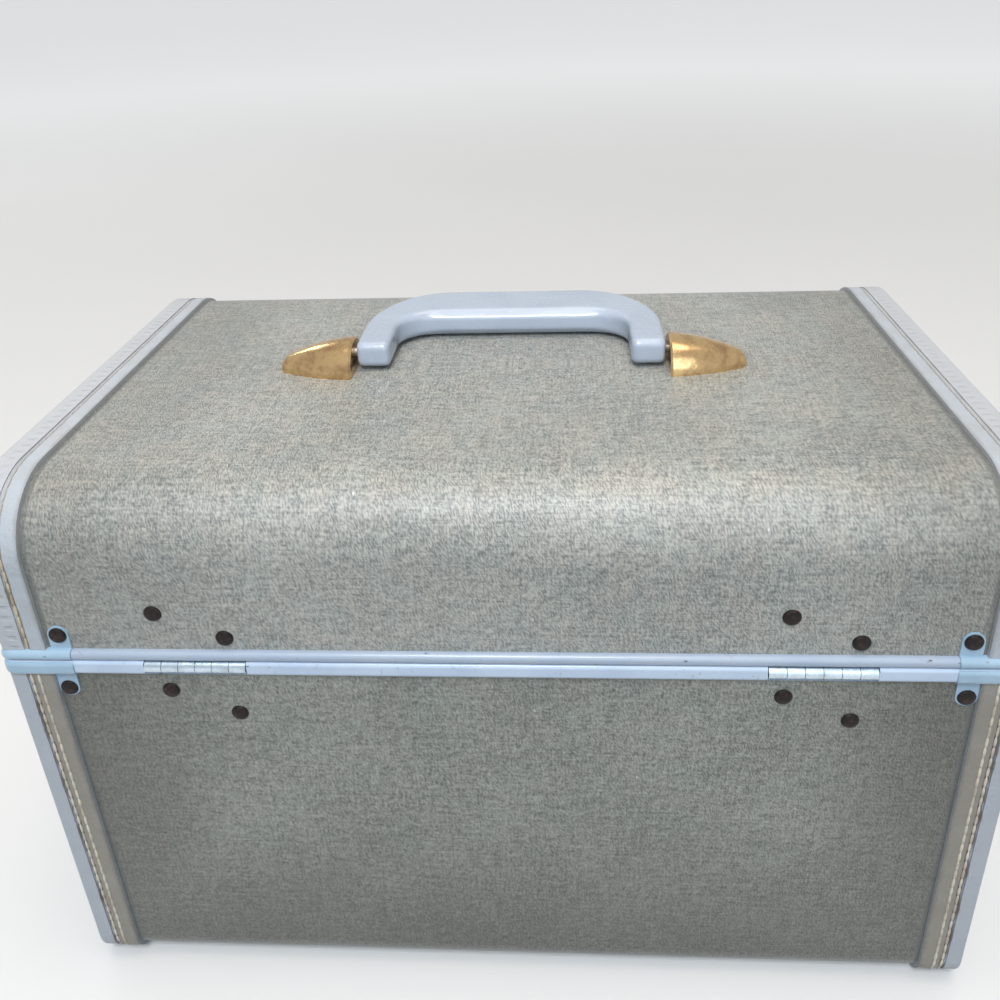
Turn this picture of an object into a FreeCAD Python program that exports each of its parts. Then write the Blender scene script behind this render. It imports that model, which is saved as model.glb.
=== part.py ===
import FreeCAD, Part
import math
import os
from FreeCAD import Vector

# Vanity travel case: a hinged box of bent plywood in woven cloth, edged with stitched
# binding, closed by a tongue-and-groove metal rim, carried by a folding handle.
# Frame: +X to the right of someone facing the latches, +Z up, the latches towards -Y.
# Origin: middle of the bounding box, on the surface that the case stands on.
# In a wall, "outward" is the distance out of the cloth surface, negative into the case.

# ---- driving dimensions, millimetres ----
case_length = 340.0             # over the two bindings
case_depth = 195.0              # over the cloth, front to back
case_height = 220.0             # over the cloth, bottom to top
seam_above_bottom = 157.5       # closing line above the cloth underneath
seam_gap = 0.3                  # between the two rims when the case is shut
lid_corner_radius = 25.0        # bent corners of the lid, on the cloth
base_corner_radius = 12.0       # bent corners of the bottom, on the cloth
board_thickness = 4.0
cloth_thickness = 0.6
lining_thickness = 0.8

binding_thickness = 1.5
binding_on_wall = 15.9          # width over the front, top, back and bottom
binding_on_end = 14.0           # width over the end face
binding_edge_radius = 1.4
lid_groove_from_edge = 8.4      # stitched groove, from the outer edge
base_groove_from_edge = 6.2
binding_groove_width = 2.2
binding_groove_depth = 0.6
binding_window_radius = 8.0

bead_proud = 2.3                # rim bead, out of the cloth
base_bead_height = 5.8
lid_bead_height = 3.6
bead_flat = 0.6                 # level strip between the cloth and the rounding of a bead
bead_lip_share = 0.8            # rounding at the closing line, of the rounding away from it
rim_corner_radius = 1.4         # upright corners of the rim, on the cloth
rim_web = 1.0                   # over the edge of the board
rim_flange = 1.0                # down the inside of the board
rim_flange_reach = 7.0
tongue_thickness = 1.0
tongue_height = 5.0             # above the closing line
tongue_root = 4.0               # below the base rim
tongue_clearance = 0.5

clip_thickness = 0.5
clip_from_seam = 0.45           # edge of a clip from the rim plane
clip_on_wall = 23.0             # from the end cloth, along the front and back
clip_on_end = 21.0              # from the front or back cloth, along the end
clip_ear_half = 3.6
clip_rivet_above_seam = 9.8
clip_rivet_below_seam = 13.0
lid_clip_rivet_from_end = 19.4  # in from the end cloth
base_clip_rivet_from_end = 18.1
clip_rivet_on_end = 17.6        # in from the front or back cloth, on the end face

rivet_head_radius = 3.0
rivet_head_height = 1.1
rivet_shank_radius = 1.4
rivet_crown_share = 0.6         # flat crown of a head, of its radius
rivet_sides = 8

hinge_centre = 103.5            # each side of the middle
hinge_length = 34.8
hinge_knuckles = 6
hinge_pivot_below_seam = 2.85
hinge_pivot_outward = 0.3
hinge_knuckle_radius = 2.5
hinge_knuckle_gap = 0.2
hinge_pin_radius = 1.2
running_clearance = 0.05
hinge_leaf = 1.2
hinge_leaf_height = 26.0
hinge_sweep_clearance = 0.4     # round the knuckles
hinge_rivet_half_pitch = 11.3
lid_hinge_rivets_above = (21.7, 11.6)     # above the pivot, left then right
base_hinge_rivets_below = (11.3, 21.3)    # below the pivot, left then right

handle_half_length = 61.0       # outside of the legs
handle_leg_width = 13.4
handle_leg_thickness = 10.6
handle_reach = 54.0             # pivot to the far edge of the grip
handle_grip_depth = 27.0
handle_grip_thickness = 11.8
handle_corner_radius = 26.0     # middle line of each bend
handle_leg_bevel = 1.4
handle_grip_bevel = 3.3
handle_end_from_pin = 5.0       # flat ends of the legs
handle_end_bevel = 2.0
handle_rest_gap = 0.9           # grip above the lid when folded
handle_behind_middle = 1.2      # pins behind the middle of the case
handle_bend_steps = 6
handle_core_width = 6.0
handle_core_thickness = 2.5
handle_core_from_pin = 1.5
handle_pin_radius = 2.0
handle_pin_in_leg = 7.0
handle_pin_in_cap = 5.0

cap_length = 30.8
cap_radius = 12.5
cap_nose_radius = 6.5
cap_face_bevel = 0.8
cap_stud_in_cap = 2.0
cap_gap = 1.2                   # between leg and cap
cap_stud_radius = 1.8
cap_stud_from_face = (7.0, 17.0)
cap_plate_thickness = 1.0
cap_plate_length = 26.0
cap_plate_width = 14.0
cap_plate_from_face = 1.0
cap_top_slope = math.radians(4.5)        # fall of the ridge at the flat end

lock_centre = 103.5             # each side of the middle
lock_plate_half_width = 22.0
lock_plate_thickness = 1.0
lock_plate_margin = 3.0         # plate round the box, above and below
lock_box_half_width = 18.0
lock_box_depth = 6.6
lock_box_wall = 1.0
lock_box_height = 23.0
lock_below_bead = 0.8           # plate below the base bead
lock_box_rounding = 2.0
lock_rivet_from_side = 2.0
latch_rivet_head_radius = 1.5
hasp_half_width = 11.0
hasp_thickness = 1.2
hasp_gap = 0.3                  # hasp in front of the lock box
hasp_below_seam = 21.0
hasp_pivot_above_seam = 9.0
hasp_knuckle_radius = 2.2
hasp_knuckle_half = 6.0
hasp_pin_radius = 1.0
hasp_side_gap = 0.2
hasp_ear_width = 4.0
hasp_plate_height = 19.0
hook_thickness = 1.6
hook_depth = 4.4              # in from the back of the hasp
hook_top_below_seam = 10.0
hook_height = 8.0
hook_leg = 1.5                # height of its leg
hook_bar = 1.0                # bar at its end
hook_notch_clearance = 0.6
bolt_thickness = 1.2
bolt_behind_front = 0.35
bolt_travel = 5.0
bolt_finger_height = 3.0
bolt_tip_gap = 1.2              # from the hook when open
bolt_length = 11.0
bolt_stem_from_tip = 3.0
bolt_stem_half_length = 2.0
bolt_stem_half_height = 1.2
bolt_stem_gap = 0.3
button_half_length = 5.0
button_half_height = 2.8
button_height = 2.2
button_gap = 0.15
button_ribs = 4
button_rib_depth = 0.5

tray_clearance = 0.8            # inside the tongue, all round
tray_height = 44.0
tray_below_seam = 3.0
tray_wall = 1.8
tray_floor = 2.0
tray_lip = 1.6
tray_lip_height = 2.0
tray_draft = 2.0
tray_corner_radius = 9.0
tray_finger_radius = 13.0
divider_thickness = 1.8
divider_clearance = 0.2
divider_below_rim = 6.0
long_divider_at = 12.0          # behind the middle of the case
cross_divider_at = 52.0         # each side of the middle
ledge_width = 7.0
ledge_height = 8.0
ledge_half_length = 62.0
tray_seat_gap = 0.1

mirror_half_length = 112.0
mirror_half_width = 56.0
mirror_thickness = 3.0
mirror_corner_radius = 4.0
mirror_frame_width = 8.0
mirror_frame_lip = 3.0
mirror_frame_height = 5.0
mirror_clearance = 0.2

cut_margin = 1.0                # a cutting shape passes the surface that it opens by this

# ---- places worked out from the driving dimensions ----
floor_z = binding_thickness
seam_z = floor_z + seam_above_bottom
roof_z = floor_z + case_height
half_depth = case_depth / 2
half_length = case_length / 2 - binding_thickness
board_outward = -cloth_thickness
board_inward = board_outward - board_thickness
lining_inward = board_inward - lining_thickness
flange_inward = board_inward - rim_flange
tongue_outward = flange_inward - tongue_clearance
tongue_inward = tongue_outward - tongue_thickness
bead_rounding = bead_proud - bead_flat
lip_rounding = bead_rounding * bead_lip_share
pivot_z = seam_z - hinge_pivot_below_seam
pivot_outward = hinge_pivot_outward
handle_pivot_z = roof_z + handle_rest_gap + handle_grip_thickness / 2
cap_face_x = handle_half_length + cap_gap
hasp_back = lock_box_depth + hasp_gap
hasp_pivot_outward = hasp_back + hasp_thickness - hasp_knuckle_radius
hasp_pivot_z = seam_z + hasp_pivot_above_seam
lock_top_z = seam_z - seam_gap / 2 - base_bead_height - clip_thickness - lock_below_bead
lock_box_top_z = lock_top_z - lock_plate_margin / 2
lock_box_floor_z = lock_box_top_z - lock_box_height
button_z = seam_z - hasp_below_seam - button_half_height - 2 * button_gap
tray_top_z = seam_z - tray_below_seam
tray_bottom_z = tray_top_z - tray_height
tray_half_x = half_length + tongue_inward - tray_clearance
tray_half_y = half_depth + tongue_inward - tray_clearance
mirror_back_z = roof_z + lining_inward
front_reach = hasp_back + button_height
back_reach = pivot_outward + hinge_knuckle_radius
centre_y = (front_reach - back_reach) / 2      # middle of the case, in the row frame


class Half:
    """The base or the lid: its rim plane, its flat side and the way from one to the other."""

    def __init__(self, name, into, rim, flat, radius, bead_height, clip_rivet_z, clip_rivet_in,
                 groove_from_edge):
        self.name = name
        self.into = into                # +1 in the lid, -1 in the base
        self.rim = rim
        self.flat = flat
        self.radius = radius
        self.bead_height = bead_height
        self.clip_rivet_z = clip_rivet_z
        self.clip_rivet_x = half_length - clip_rivet_in
        self.groove_from_edge = groove_from_edge
        self.board_rim = self.inside(rim_web)
        self.binding_rim = self.inside(bead_height + clip_thickness)
        self.lining_rim = self.inside(rim_flange_reach)

    def inside(self, distance):
        """Height at a distance from the rim into this half."""
        return self.rim + self.into * distance

    def block(self, outward, x0, x1, open_z, radius=None):
        """Section of this half, moved outward from the cloth, run from x0 to x1."""
        half = half_depth + outward
        flat = self.flat + self.into * outward
        bend = (self.radius if radius is None else radius) + outward
        turn = bend * (1 - math.sqrt(0.5))
        top = flat - self.into * bend
        near_top = flat - self.into * turn
        points = [Vector(x0, -half, open_z), Vector(x0, -half, top), Vector(x0, bend - half, flat),
                  Vector(x0, half - bend, flat), Vector(x0, half, top), Vector(x0, half, open_z)]
        edges = [Part.makeLine(points[0], points[1]),
                 Part.Arc(points[1], Vector(x0, turn - half, near_top), points[2]).toShape(),
                 Part.makeLine(points[2], points[3]),
                 Part.Arc(points[3], Vector(x0, half - turn, near_top), points[4]).toShape(),
                 Part.makeLine(points[4], points[5]), Part.makeLine(points[5], points[0])]
        return Part.Face(Part.Wire(edges)).extrude(Vector(x1 - x0, 0, 0))


BASE = Half("base", -1, seam_z - seam_gap / 2, floor_z, base_corner_radius, base_bead_height,
            seam_z - clip_rivet_below_seam, base_clip_rivet_from_end, base_groove_from_edge)
LID = Half("lid", 1, seam_z + seam_gap / 2, roof_z, lid_corner_radius, lid_bead_height,
           seam_z + clip_rivet_above_seam, lid_clip_rivet_from_end, lid_groove_from_edge)
SIDES = (("left", -1), ("right", 1))


# ---- small helpers ----
def box(x0, x1, y0, y1, z0, z1):
    """Box between two corners given in any order."""
    low = Vector(min(x0, x1), min(y0, y1), min(z0, z1))
    return Part.makeBox(abs(x1 - x0), abs(y1 - y0), abs(z1 - z0), low)


def fuse(shapes):
    """One solid of several that touch, with its seams removed."""
    whole = shapes[0].multiFuse(shapes[1:]) if len(shapes) > 1 else shapes[0]
    return whole.removeSplitter()


def group(shapes):
    """Separate solids kept in one node."""
    return Part.makeCompound(shapes)


def upright_edges(shape):
    """Edges that run along Z."""
    return [e for e in shape.Edges if e.BoundBox.XLength < 0.01 and e.BoundBox.YLength < 0.01]


def level_edges(shape, z):
    """Edges that lie all at one height."""
    return [e for e in shape.Edges if abs(e.BoundBox.ZMin - z) < 0.01
            and abs(e.BoundBox.ZMax - z) < 0.01]


def rounded_block(half_x, half_y, radius, z0, z1, centre_x=0.0):
    """Block about the middle of the case with rounded upright corners."""
    block = box(centre_x - half_x, centre_x + half_x, -half_y, half_y, z0, z1)
    return block.makeFillet(radius, upright_edges(block)) if radius > 0 else block


def rim_block(outward, z0, z1):
    """Square plan of the case, moved outward from the cloth, between two heights."""
    return rounded_block(half_length + outward, half_depth + outward, 0, z0, z1)


def rim_ring(outward, inward, z0, z1):
    """Ring that follows the walls between two distances from the cloth."""
    return rim_block(outward, z0, z1).cut(rim_block(inward, z0, z1))


def wall_y(facing, outward):
    """Y of a surface in the front (-1) or back (+1) wall."""
    return facing * (half_depth + outward)


def wall_box(facing, x0, x1, out0, out1, z0, z1):
    """Box in the front or back wall, by its distances out of the cloth."""
    return box(x0, x1, wall_y(facing, out0), wall_y(facing, out1), z0, z1)


def wall_cylinder(facing, x, z, radius, out0, out1):
    """Cylinder through the front or back wall."""
    low = min(out0, out1)
    start = Vector(x, wall_y(facing, low), z)
    return Part.makeCylinder(radius, abs(out1 - out0), start, Vector(0, facing, 0))


def x_cylinder(radius, x0, x1, y, z):
    """Cylinder along X between two places."""
    return Part.makeCylinder(radius, abs(x1 - x0), Vector(min(x0, x1), y, z), Vector(1, 0, 0))


# ---- rivets ----
def ring_wire(radius, z):
    """Closed outline with the sides of a rivet, at a height."""
    step = 2 * math.pi / rivet_sides
    points = [Vector(radius * math.cos(step * k), radius * math.sin(step * k), z)
              for k in range(rivet_sides)]
    return Part.makePolygon(points + [points[0]])


def rivet(length, head, height, shank):
    """Rivet along +Z: shank up to the surface at zero, and a crowned head on it."""
    body = Part.makeLoft([ring_wire(shank, -length), ring_wire(shank, 0.0)], True, True)
    crown = Part.makeLoft([ring_wire(head, 0.0), ring_wire(head * rivet_crown_share, height)],
                          True, True)
    return fuse([body, crown])


def placed(piece, point, direction):
    """Piece moved to a point, with its +Z turned to a direction."""
    piece.Placement = FreeCAD.Placement(point, FreeCAD.Rotation(Vector(0, 0, 1), direction))
    return piece


def shell_rivet(point, direction, length):
    """Dark rivet of the hinges and corner clips."""
    piece = rivet(length, rivet_head_radius, rivet_head_height, rivet_shank_radius)
    return placed(piece, point, direction)


def wall_rivet(facing, x, z, seat, depth_to):
    """Rivet in the front or back wall, its head on a surface seat mm out of the cloth."""
    point = Vector(x, wall_y(facing, seat), z)
    return shell_rivet(point, Vector(0, facing, 0), seat - depth_to)


def clip_rivets(half):
    """Two rivets at each corner clip: one on the wall, one on the end."""
    rivets = []
    for facing in (-1, 1):
        for side in (-1, 1):
            x = side * half.clip_rivet_x
            rivets.append(wall_rivet(facing, x, half.clip_rivet_z, clip_thickness, board_inward))
            y = facing * (half_depth - clip_rivet_on_end)
            point = Vector(side * (half_length + clip_thickness), y, half.clip_rivet_z)
            rivets.append(shell_rivet(point, Vector(side, 0, 0), clip_thickness - board_inward))
    return rivets


def hinge_rivet_places(half, side):
    """Centres of the two rivets of one hinge leaf, as (x, z)."""
    heights = lid_hinge_rivets_above if half is LID else base_hinge_rivets_below
    centre = side * hinge_centre
    return [(centre + sign * hinge_rivet_half_pitch, pivot_z + half.into * height)
            for sign, height in zip((1, -1), heights)]


def hinge_rivets(half):
    """Rivets of both hinge leaves of one half."""
    return [wall_rivet(1, x, z, 0.0, board_inward)
            for _, side in SIDES for x, z in hinge_rivet_places(half, side)]


# ---- rims ----
def outer_path(half, grow, start):
    """Outline of a bead grown by a thickness, from a depth under the rim to the cloth."""
    axis = rim_corner_radius + bead_proud
    lip = lip_rounding + grow
    far = bead_rounding + grow
    depth = half.bead_height + grow
    near = axis - lip_rounding
    away = axis - bead_rounding

    def on_arc(centre, radius, angle, middle_depth):
        y = centre + radius * math.cos(math.radians(angle))
        return Vector(0, y, half.inside(middle_depth + radius * math.sin(math.radians(angle))))

    first = -math.degrees(math.asin((lip - start) / lip))
    bottom = depth - far
    points = [on_arc(near, lip, angle, lip) for angle in (first, first / 2, 0)]
    points += [on_arc(away, far, angle, bottom) for angle in (0, 45, 90)]
    inner = Vector(0, rim_corner_radius, half.inside(depth))
    edges = [Part.Arc(points[0], points[1], points[2]).toShape(),
             Part.makeLine(points[2], points[3]),
             Part.Arc(points[3], points[4], points[5]).toShape(),
             Part.makeLine(points[5], inner)]
    return edges, points[0], inner


def bead_section(half):
    """Solid section of a rim bead, measured outward from the corner axis."""
    edges, start, inner = outer_path(half, 0.0, 0.0)
    corners = [inner, Vector(0, 0, inner.z), Vector(0, 0, half.rim), start]
    edges += [Part.makeLine(a, b) for a, b in zip(corners, corners[1:])]
    return Part.Face(Part.Wire(edges))


def under_path(half):
    """Inner outline of a corner clip: straight folds that touch the bead, from its edge inward."""
    cut = 2 - math.sqrt(2)
    outer = rim_corner_radius + bead_proud
    depth = half.bead_height
    places = [(outer - cut * lip_rounding + clip_from_seam, clip_from_seam),
              (outer, cut * lip_rounding), (outer, depth - cut * bead_rounding),
              (outer - cut * bead_rounding, depth), (rim_corner_radius, depth)]
    points = [Vector(0, y, half.inside(away)) for y, away in places]
    return [Part.makeLine(a, b) for a, b in zip(points, points[1:])], points[0], points[-1]


def clip_section(half):
    """Thin section of a corner clip over its bead."""
    under, under_start, under_end = under_path(half)
    over, over_start, over_end = outer_path(half, clip_thickness, clip_from_seam)
    ends = [Part.makeLine(under_start, over_start), Part.makeLine(under_end, over_end)]
    return Part.Face(Part.Wire(Part.__sortEdges__(under + over + ends)))


def bead(half):
    """Filled rim bead of one half: its section run along each side and turned at each corner."""
    section = bead_section(half)
    parts = []
    for quarter in range(4):
        along = half_length - rim_corner_radius
        across = half_depth - rim_corner_radius
        if quarter % 2:
            along, across = across, along
        run = section.copy()
        run.translate(Vector(-along, across, 0))
        corner = section.revolve(Vector(0, 0, 0), Vector(0, 0, 1), -90)
        corner.translate(Vector(along, across, 0))
        for piece in (run.extrude(Vector(2 * along, 0, 0)), corner):
            piece.rotate(Vector(0, 0, 0), Vector(0, 0, 1), 90 * quarter)
            parts.append(piece)
    return fuse(parts)


def hinge_opening(side, into_lid):
    """Space for the knuckles of one hinge, in the base rim or in the lid rim and board."""
    x0 = side * hinge_centre - hinge_length / 2 - hinge_knuckle_gap
    x1 = side * hinge_centre + hinge_length / 2 + hinge_knuckle_gap
    reach = hinge_knuckle_radius + hinge_sweep_clearance
    if into_lid:
        strap = pivot_outward - hinge_knuckle_radius
        return wall_box(1, x0, x1, strap - hinge_sweep_clearance,
                        strap + hinge_leaf + hinge_knuckle_gap,
                        LID.rim - cut_margin, LID.board_rim + hinge_leaf + hinge_knuckle_gap)
    return wall_box(1, x0, x1, pivot_outward - reach, bead_proud + cut_margin,
                    pivot_z - reach, BASE.rim + cut_margin)


def valance(half):
    """Metal rim of one half: bead, web over the board and flange inside it."""
    solid = bead(half).cut(rim_block(0.0, half.rim, half.inside(half.bead_height)))
    web = rim_ring(0.0, flange_inward, half.rim, half.board_rim)
    flange = rim_ring(board_inward, flange_inward, half.rim, half.lining_rim)
    parts = [solid, web, flange]
    if half is BASE:
        root = half.rim - tongue_root
        parts.append(rim_ring(flange_inward, tongue_inward, root, half.rim))
        parts.append(rim_ring(tongue_outward, tongue_inward, half.rim, seam_z + tongue_height))
    ring = fuse(parts)
    for _, side in SIDES:
        ring = ring.cut(hinge_opening(side, half is LID))
    return ring


def clip_ears(half):
    """The two riveted ears of a corner clip, on the back wall and on the right end."""
    start = half.inside(half.bead_height)
    x = half.clip_rivet_x
    y = half_depth - clip_rivet_on_end
    z = half.clip_rivet_z
    return [wall_box(1, x - clip_ear_half, x + clip_ear_half, 0.0, clip_thickness, start, z),
            wall_cylinder(1, x, z, clip_ear_half, 0.0, clip_thickness),
            box(half_length, half_length + clip_thickness, y - clip_ear_half, y + clip_ear_half,
                start, z),
            x_cylinder(clip_ear_half, half_length, half_length + clip_thickness, y, z)]


def corner_clip(half):
    """Corner clip of one half: it wraps the bead round the right back corner, with two ears."""
    section = clip_section(half)
    place = Vector(half_length - rim_corner_radius, half_depth - rim_corner_radius, 0)
    corner = section.revolve(Vector(0, 0, 0), Vector(0, 0, 1), -90)
    on_wall = section.extrude(Vector(rim_corner_radius - clip_on_wall, 0, 0))
    on_end = section.extrude(Vector(clip_on_end - rim_corner_radius, 0, 0))
    on_end.rotate(Vector(0, 0, 0), Vector(0, 0, 1), -90)
    wrap = fuse([corner, on_wall, on_end])
    wrap.translate(place)
    inside = rim_block(0.0, half.rim, half.inside(half.bead_height + clip_thickness))
    return fuse([wrap] + clip_ears(half)).cut(inside)


def corner_clips(half, rivets):
    """The four corner clips of one half."""
    right_back = corner_clip(half)
    left_back = right_back.mirror(Vector(0, 0, 0), Vector(1, 0, 0))
    clips = [right_back, left_back]
    clips += [clip.mirror(Vector(0, 0, 0), Vector(0, 1, 0)) for clip in clips]
    return group([clip.cut(group(rivets)) for clip in clips])


# ---- boards, cloth, lining and binding ----
def hinge_rebates(half):
    """Spaces for the hinge leaves in the back board of one half."""
    spaces = []
    for _, side in SIDES:
        x0 = side * hinge_centre - hinge_length / 2 - hinge_knuckle_gap
        x1 = side * hinge_centre + hinge_length / 2 + hinge_knuckle_gap
        spaces.append(wall_box(1, x0, x1, board_inward - cut_margin, board_inward + hinge_leaf,
                               half.rim, half.inside(hinge_leaf_height)))
        if half is LID:
            strap = pivot_outward - hinge_knuckle_radius + hinge_leaf + hinge_knuckle_gap
            spaces.append(wall_box(1, x0, x1, board_inward - cut_margin, strap,
                                   half.rim, half.inside(rim_web + hinge_leaf)))
        else:
            floor = pivot_z - hinge_knuckle_radius - hinge_sweep_clearance
            spaces.append(wall_box(1, x0, x1, board_inward - cut_margin, board_outward + cut_margin,
                                   half.rim, floor))
    return spaces


def shell_board(half, holes):
    """Bent plywood of one half: front, flat side and back in one sheet."""
    ends = half_length - cloth_thickness
    outer = half.block(board_outward, -ends, ends, half.board_rim)
    inner = half.block(board_inward, -ends, ends, half.board_rim)
    board = outer.cut(inner)
    return board.cut(group(hinge_rebates(half))).cut(group(holes)).removeSplitter()


def end_board(half, side, holes):
    """Flat plywood end inside the bent sheet."""
    outer = side * (half_length - cloth_thickness)
    inner = outer - side * board_thickness
    return half.block(board_inward, inner, outer, half.board_rim).cut(group(holes))


def cloth(half, holes):
    """Woven cloth of one half: one piece round the bent sheet and one on each end."""
    ends = half_length - cloth_thickness
    around = half.block(0.0, -ends, ends, half.board_rim)
    around = around.cut(half.block(board_outward, -ends, ends, half.board_rim))
    pieces = [around]
    for _, side in SIDES:
        pieces.append(half.block(0.0, side * ends, side * half_length, half.board_rim))
    notches = []
    if half is BASE:
        notches = [hinge_opening(side, False) for _, side in SIDES]
    return group([piece.cut(group(holes + notches)) for piece in pieces])


def lining(half):
    """Thin inner lining of one half, closed at both ends."""
    outer_end = half_length + board_inward
    inner_end = half_length + lining_inward
    outer = half.block(board_inward, -outer_end, outer_end, half.lining_rim)
    return outer.cut(half.block(lining_inward, -inner_end, inner_end, half.lining_rim))


def binding(half, side):
    """Binding of one end: an angle strip round the edge, with a stitched groove."""
    edge = side * case_length / 2
    lip = side * (case_length / 2 - binding_on_wall)
    rim = half.binding_rim
    outer = half.block(binding_thickness, lip, edge, rim)
    at_rim = level_edges(outer, rim)
    corner_edges = [e for e in outer.Edges if abs(e.BoundBox.XMin - edge) < 0.01
                    and abs(e.BoundBox.XMax - edge) < 0.01 and not any(e.isSame(r) for r in at_rim)]
    outer = outer.makeFillet(binding_edge_radius, corner_edges)
    hollow = half.block(0.0, lip, side * half_length, rim)
    window = window_block(half, side, rim)
    groove_start = side * (case_length / 2 - half.groove_from_edge)
    groove_end = groove_start - side * binding_groove_width
    floor = binding_thickness - binding_groove_depth
    groove = half.block(binding_thickness + cut_margin, groove_start, groove_end, rim)
    groove = groove.cut(half.block(floor, groove_start, groove_end, rim))
    return outer.cut(hollow).cut(window).cut(groove)


def window_block(half, side, rim):
    """Opening in the end leg of the binding, with its own corner radius."""
    radius = max(binding_window_radius, half.radius - binding_on_end) + binding_on_end
    return half.block(-binding_on_end, side * (half_length - cut_margin),
                      side * (case_length / 2 + cut_margin), rim, radius)


# ---- hinges ----
def knuckle_span(side, index):
    """X range of one hinge knuckle, counted from low X."""
    width = hinge_length / hinge_knuckles
    start = side * hinge_centre - hinge_length / 2 + index * width
    return start + hinge_knuckle_gap / 2, start + width - hinge_knuckle_gap / 2


def hinge_leaf_piece(half, side):
    """One hinge leaf: every second knuckle, the strap over the board and the riveted plate."""
    centre_out = pivot_outward
    strap_out = centre_out - hinge_knuckle_radius
    x0 = side * hinge_centre - hinge_length / 2
    x1 = side * hinge_centre + hinge_length / 2
    if half is LID:
        web_near = half.board_rim
    else:
        web_near = pivot_z - hinge_knuckle_radius + hinge_leaf
    web_far = web_near + half.into * hinge_leaf
    plate_end = half.inside(hinge_leaf_height - hinge_knuckle_gap)
    parts = [wall_box(1, x0, x1, board_inward, board_inward + hinge_leaf, web_near, plate_end)]
    web_out = strap_out if half is LID else strap_out - hinge_sweep_clearance
    parts.append(wall_box(1, x0, x1, board_inward, web_out, web_near, web_far))
    first = 0 if half is BASE else 1
    for index in range(first, hinge_knuckles, 2):
        a, b = knuckle_span(side, index)
        parts.append(x_cylinder(hinge_knuckle_radius, a, b, wall_y(1, centre_out), pivot_z))
        if half is LID:
            parts.append(wall_box(1, a, b, strap_out, strap_out + hinge_leaf, pivot_z, web_far))
        else:
            parts.append(wall_box(1, a, b, web_out, centre_out, web_near, web_far))
    bore = x_cylinder(hinge_pin_radius + running_clearance, x0 - cut_margin, x1 + cut_margin,
                      wall_y(1, centre_out), pivot_z)
    holes = [wall_rivet(1, x, z, 0.0, board_inward) for x, z in hinge_rivet_places(half, side)]
    return fuse(parts).cut(bore).cut(group(holes))


def hinge_pin(side):
    """Pin of one hinge, held by the base leaf."""
    half_pin = hinge_length / 2 - hinge_knuckle_gap / 2
    return x_cylinder(hinge_pin_radius, side * hinge_centre - half_pin,
                      side * hinge_centre + half_pin, wall_y(1, pivot_outward), pivot_z)


# ---- handle ----
def at_handle(shape):
    """Shape made about the handle's pins, moved to their place behind the middle."""
    return shape.translated(Vector(0, handle_behind_middle, 0))


def grip_section(centre, across, wide, thick, bevel):
    """Eight-sided section of the handle at a point, across its path."""
    u, v = wide / 2, thick / 2
    corners = [(u - bevel, -v), (u, bevel - v), (u, v - bevel), (u - bevel, v),
               (bevel - u, v), (-u, v - bevel), (-u, bevel - v), (bevel - u, -v)]
    points = [centre + across * a + Vector(0, 0, b) for a, b in corners]
    return Part.makePolygon(points + [points[0]])


def leg_middle():
    """Distance of the middle of a leg from the middle of the case."""
    return handle_half_length - handle_leg_width / 2


def grip_middle():
    """Y of the middle of the grip, folded to the front."""
    return handle_grip_depth / 2 - handle_reach


def bend_point(angle):
    """Point on the middle line of the right bend, and the way across it."""
    across = Vector(math.cos(angle), -math.sin(angle), 0)
    centre = Vector(leg_middle() - handle_corner_radius, grip_middle() + handle_corner_radius, 0)
    return centre + across * handle_corner_radius, across


def grip_size(share):
    """Width, thickness and bevel of the handle at a share of the way from leg to grip."""
    smooth = share * share * (3 - 2 * share)
    wide = handle_leg_width + (handle_grip_depth - handle_leg_width) * smooth
    thick = handle_leg_thickness + (handle_grip_thickness - handle_leg_thickness) * smooth
    bevel = handle_leg_bevel + (handle_grip_bevel - handle_leg_bevel) * smooth
    return wide, thick, bevel


def leg_section(beyond, inset):
    """Section of a leg beyond its pin, drawn in all round."""
    wide, thick, bevel = grip_size(0)
    centre = Vector(leg_middle(), beyond, handle_pivot_z)
    return grip_section(centre, Vector(1, 0, 0), wide - inset, thick - 2 * inset, bevel / 2)


def handle_half():
    """Right half of the moulding: bevelled end, leg, bend and half of the grip."""
    base = Vector(0, 0, handle_pivot_z)
    sections = []
    for step in range(handle_bend_steps + 1):
        share = step / handle_bend_steps
        point, across = bend_point(math.radians(90 * share))
        sections.append(grip_section(base + point, across, *grip_size(share)))
    leg_end = grip_section(base + Vector(leg_middle(), 0, 0), Vector(1, 0, 0), *grip_size(0))
    middle = grip_section(base + Vector(0, grip_middle(), 0), Vector(0, -1, 0), *grip_size(1))
    bend = Part.makeLoft(sections, True, False)
    grip = Part.makeLoft([sections[-1], middle], True, True)
    shoulder = handle_end_from_pin - handle_end_bevel
    near = grip_section(base + Vector(leg_middle(), shoulder, 0), Vector(1, 0, 0), *grip_size(0))
    leg = Part.makeLoft([near, leg_end, sections[0]], True, True)
    end = Part.makeLoft([leg_section(handle_end_from_pin, handle_end_bevel), near], True, True)
    return fuse([end, leg, bend, grip])


def handle_grip():
    """Moulded handle: two legs that widen through the bends into a bevelled grip."""
    half = handle_half()
    whole = half.fuse(half.mirror(Vector(0, 0, 0), Vector(1, 0, 0))).removeSplitter()
    return whole.cut(handle_core()).cut(group([handle_pin(side) for _, side in SIDES]))


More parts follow.
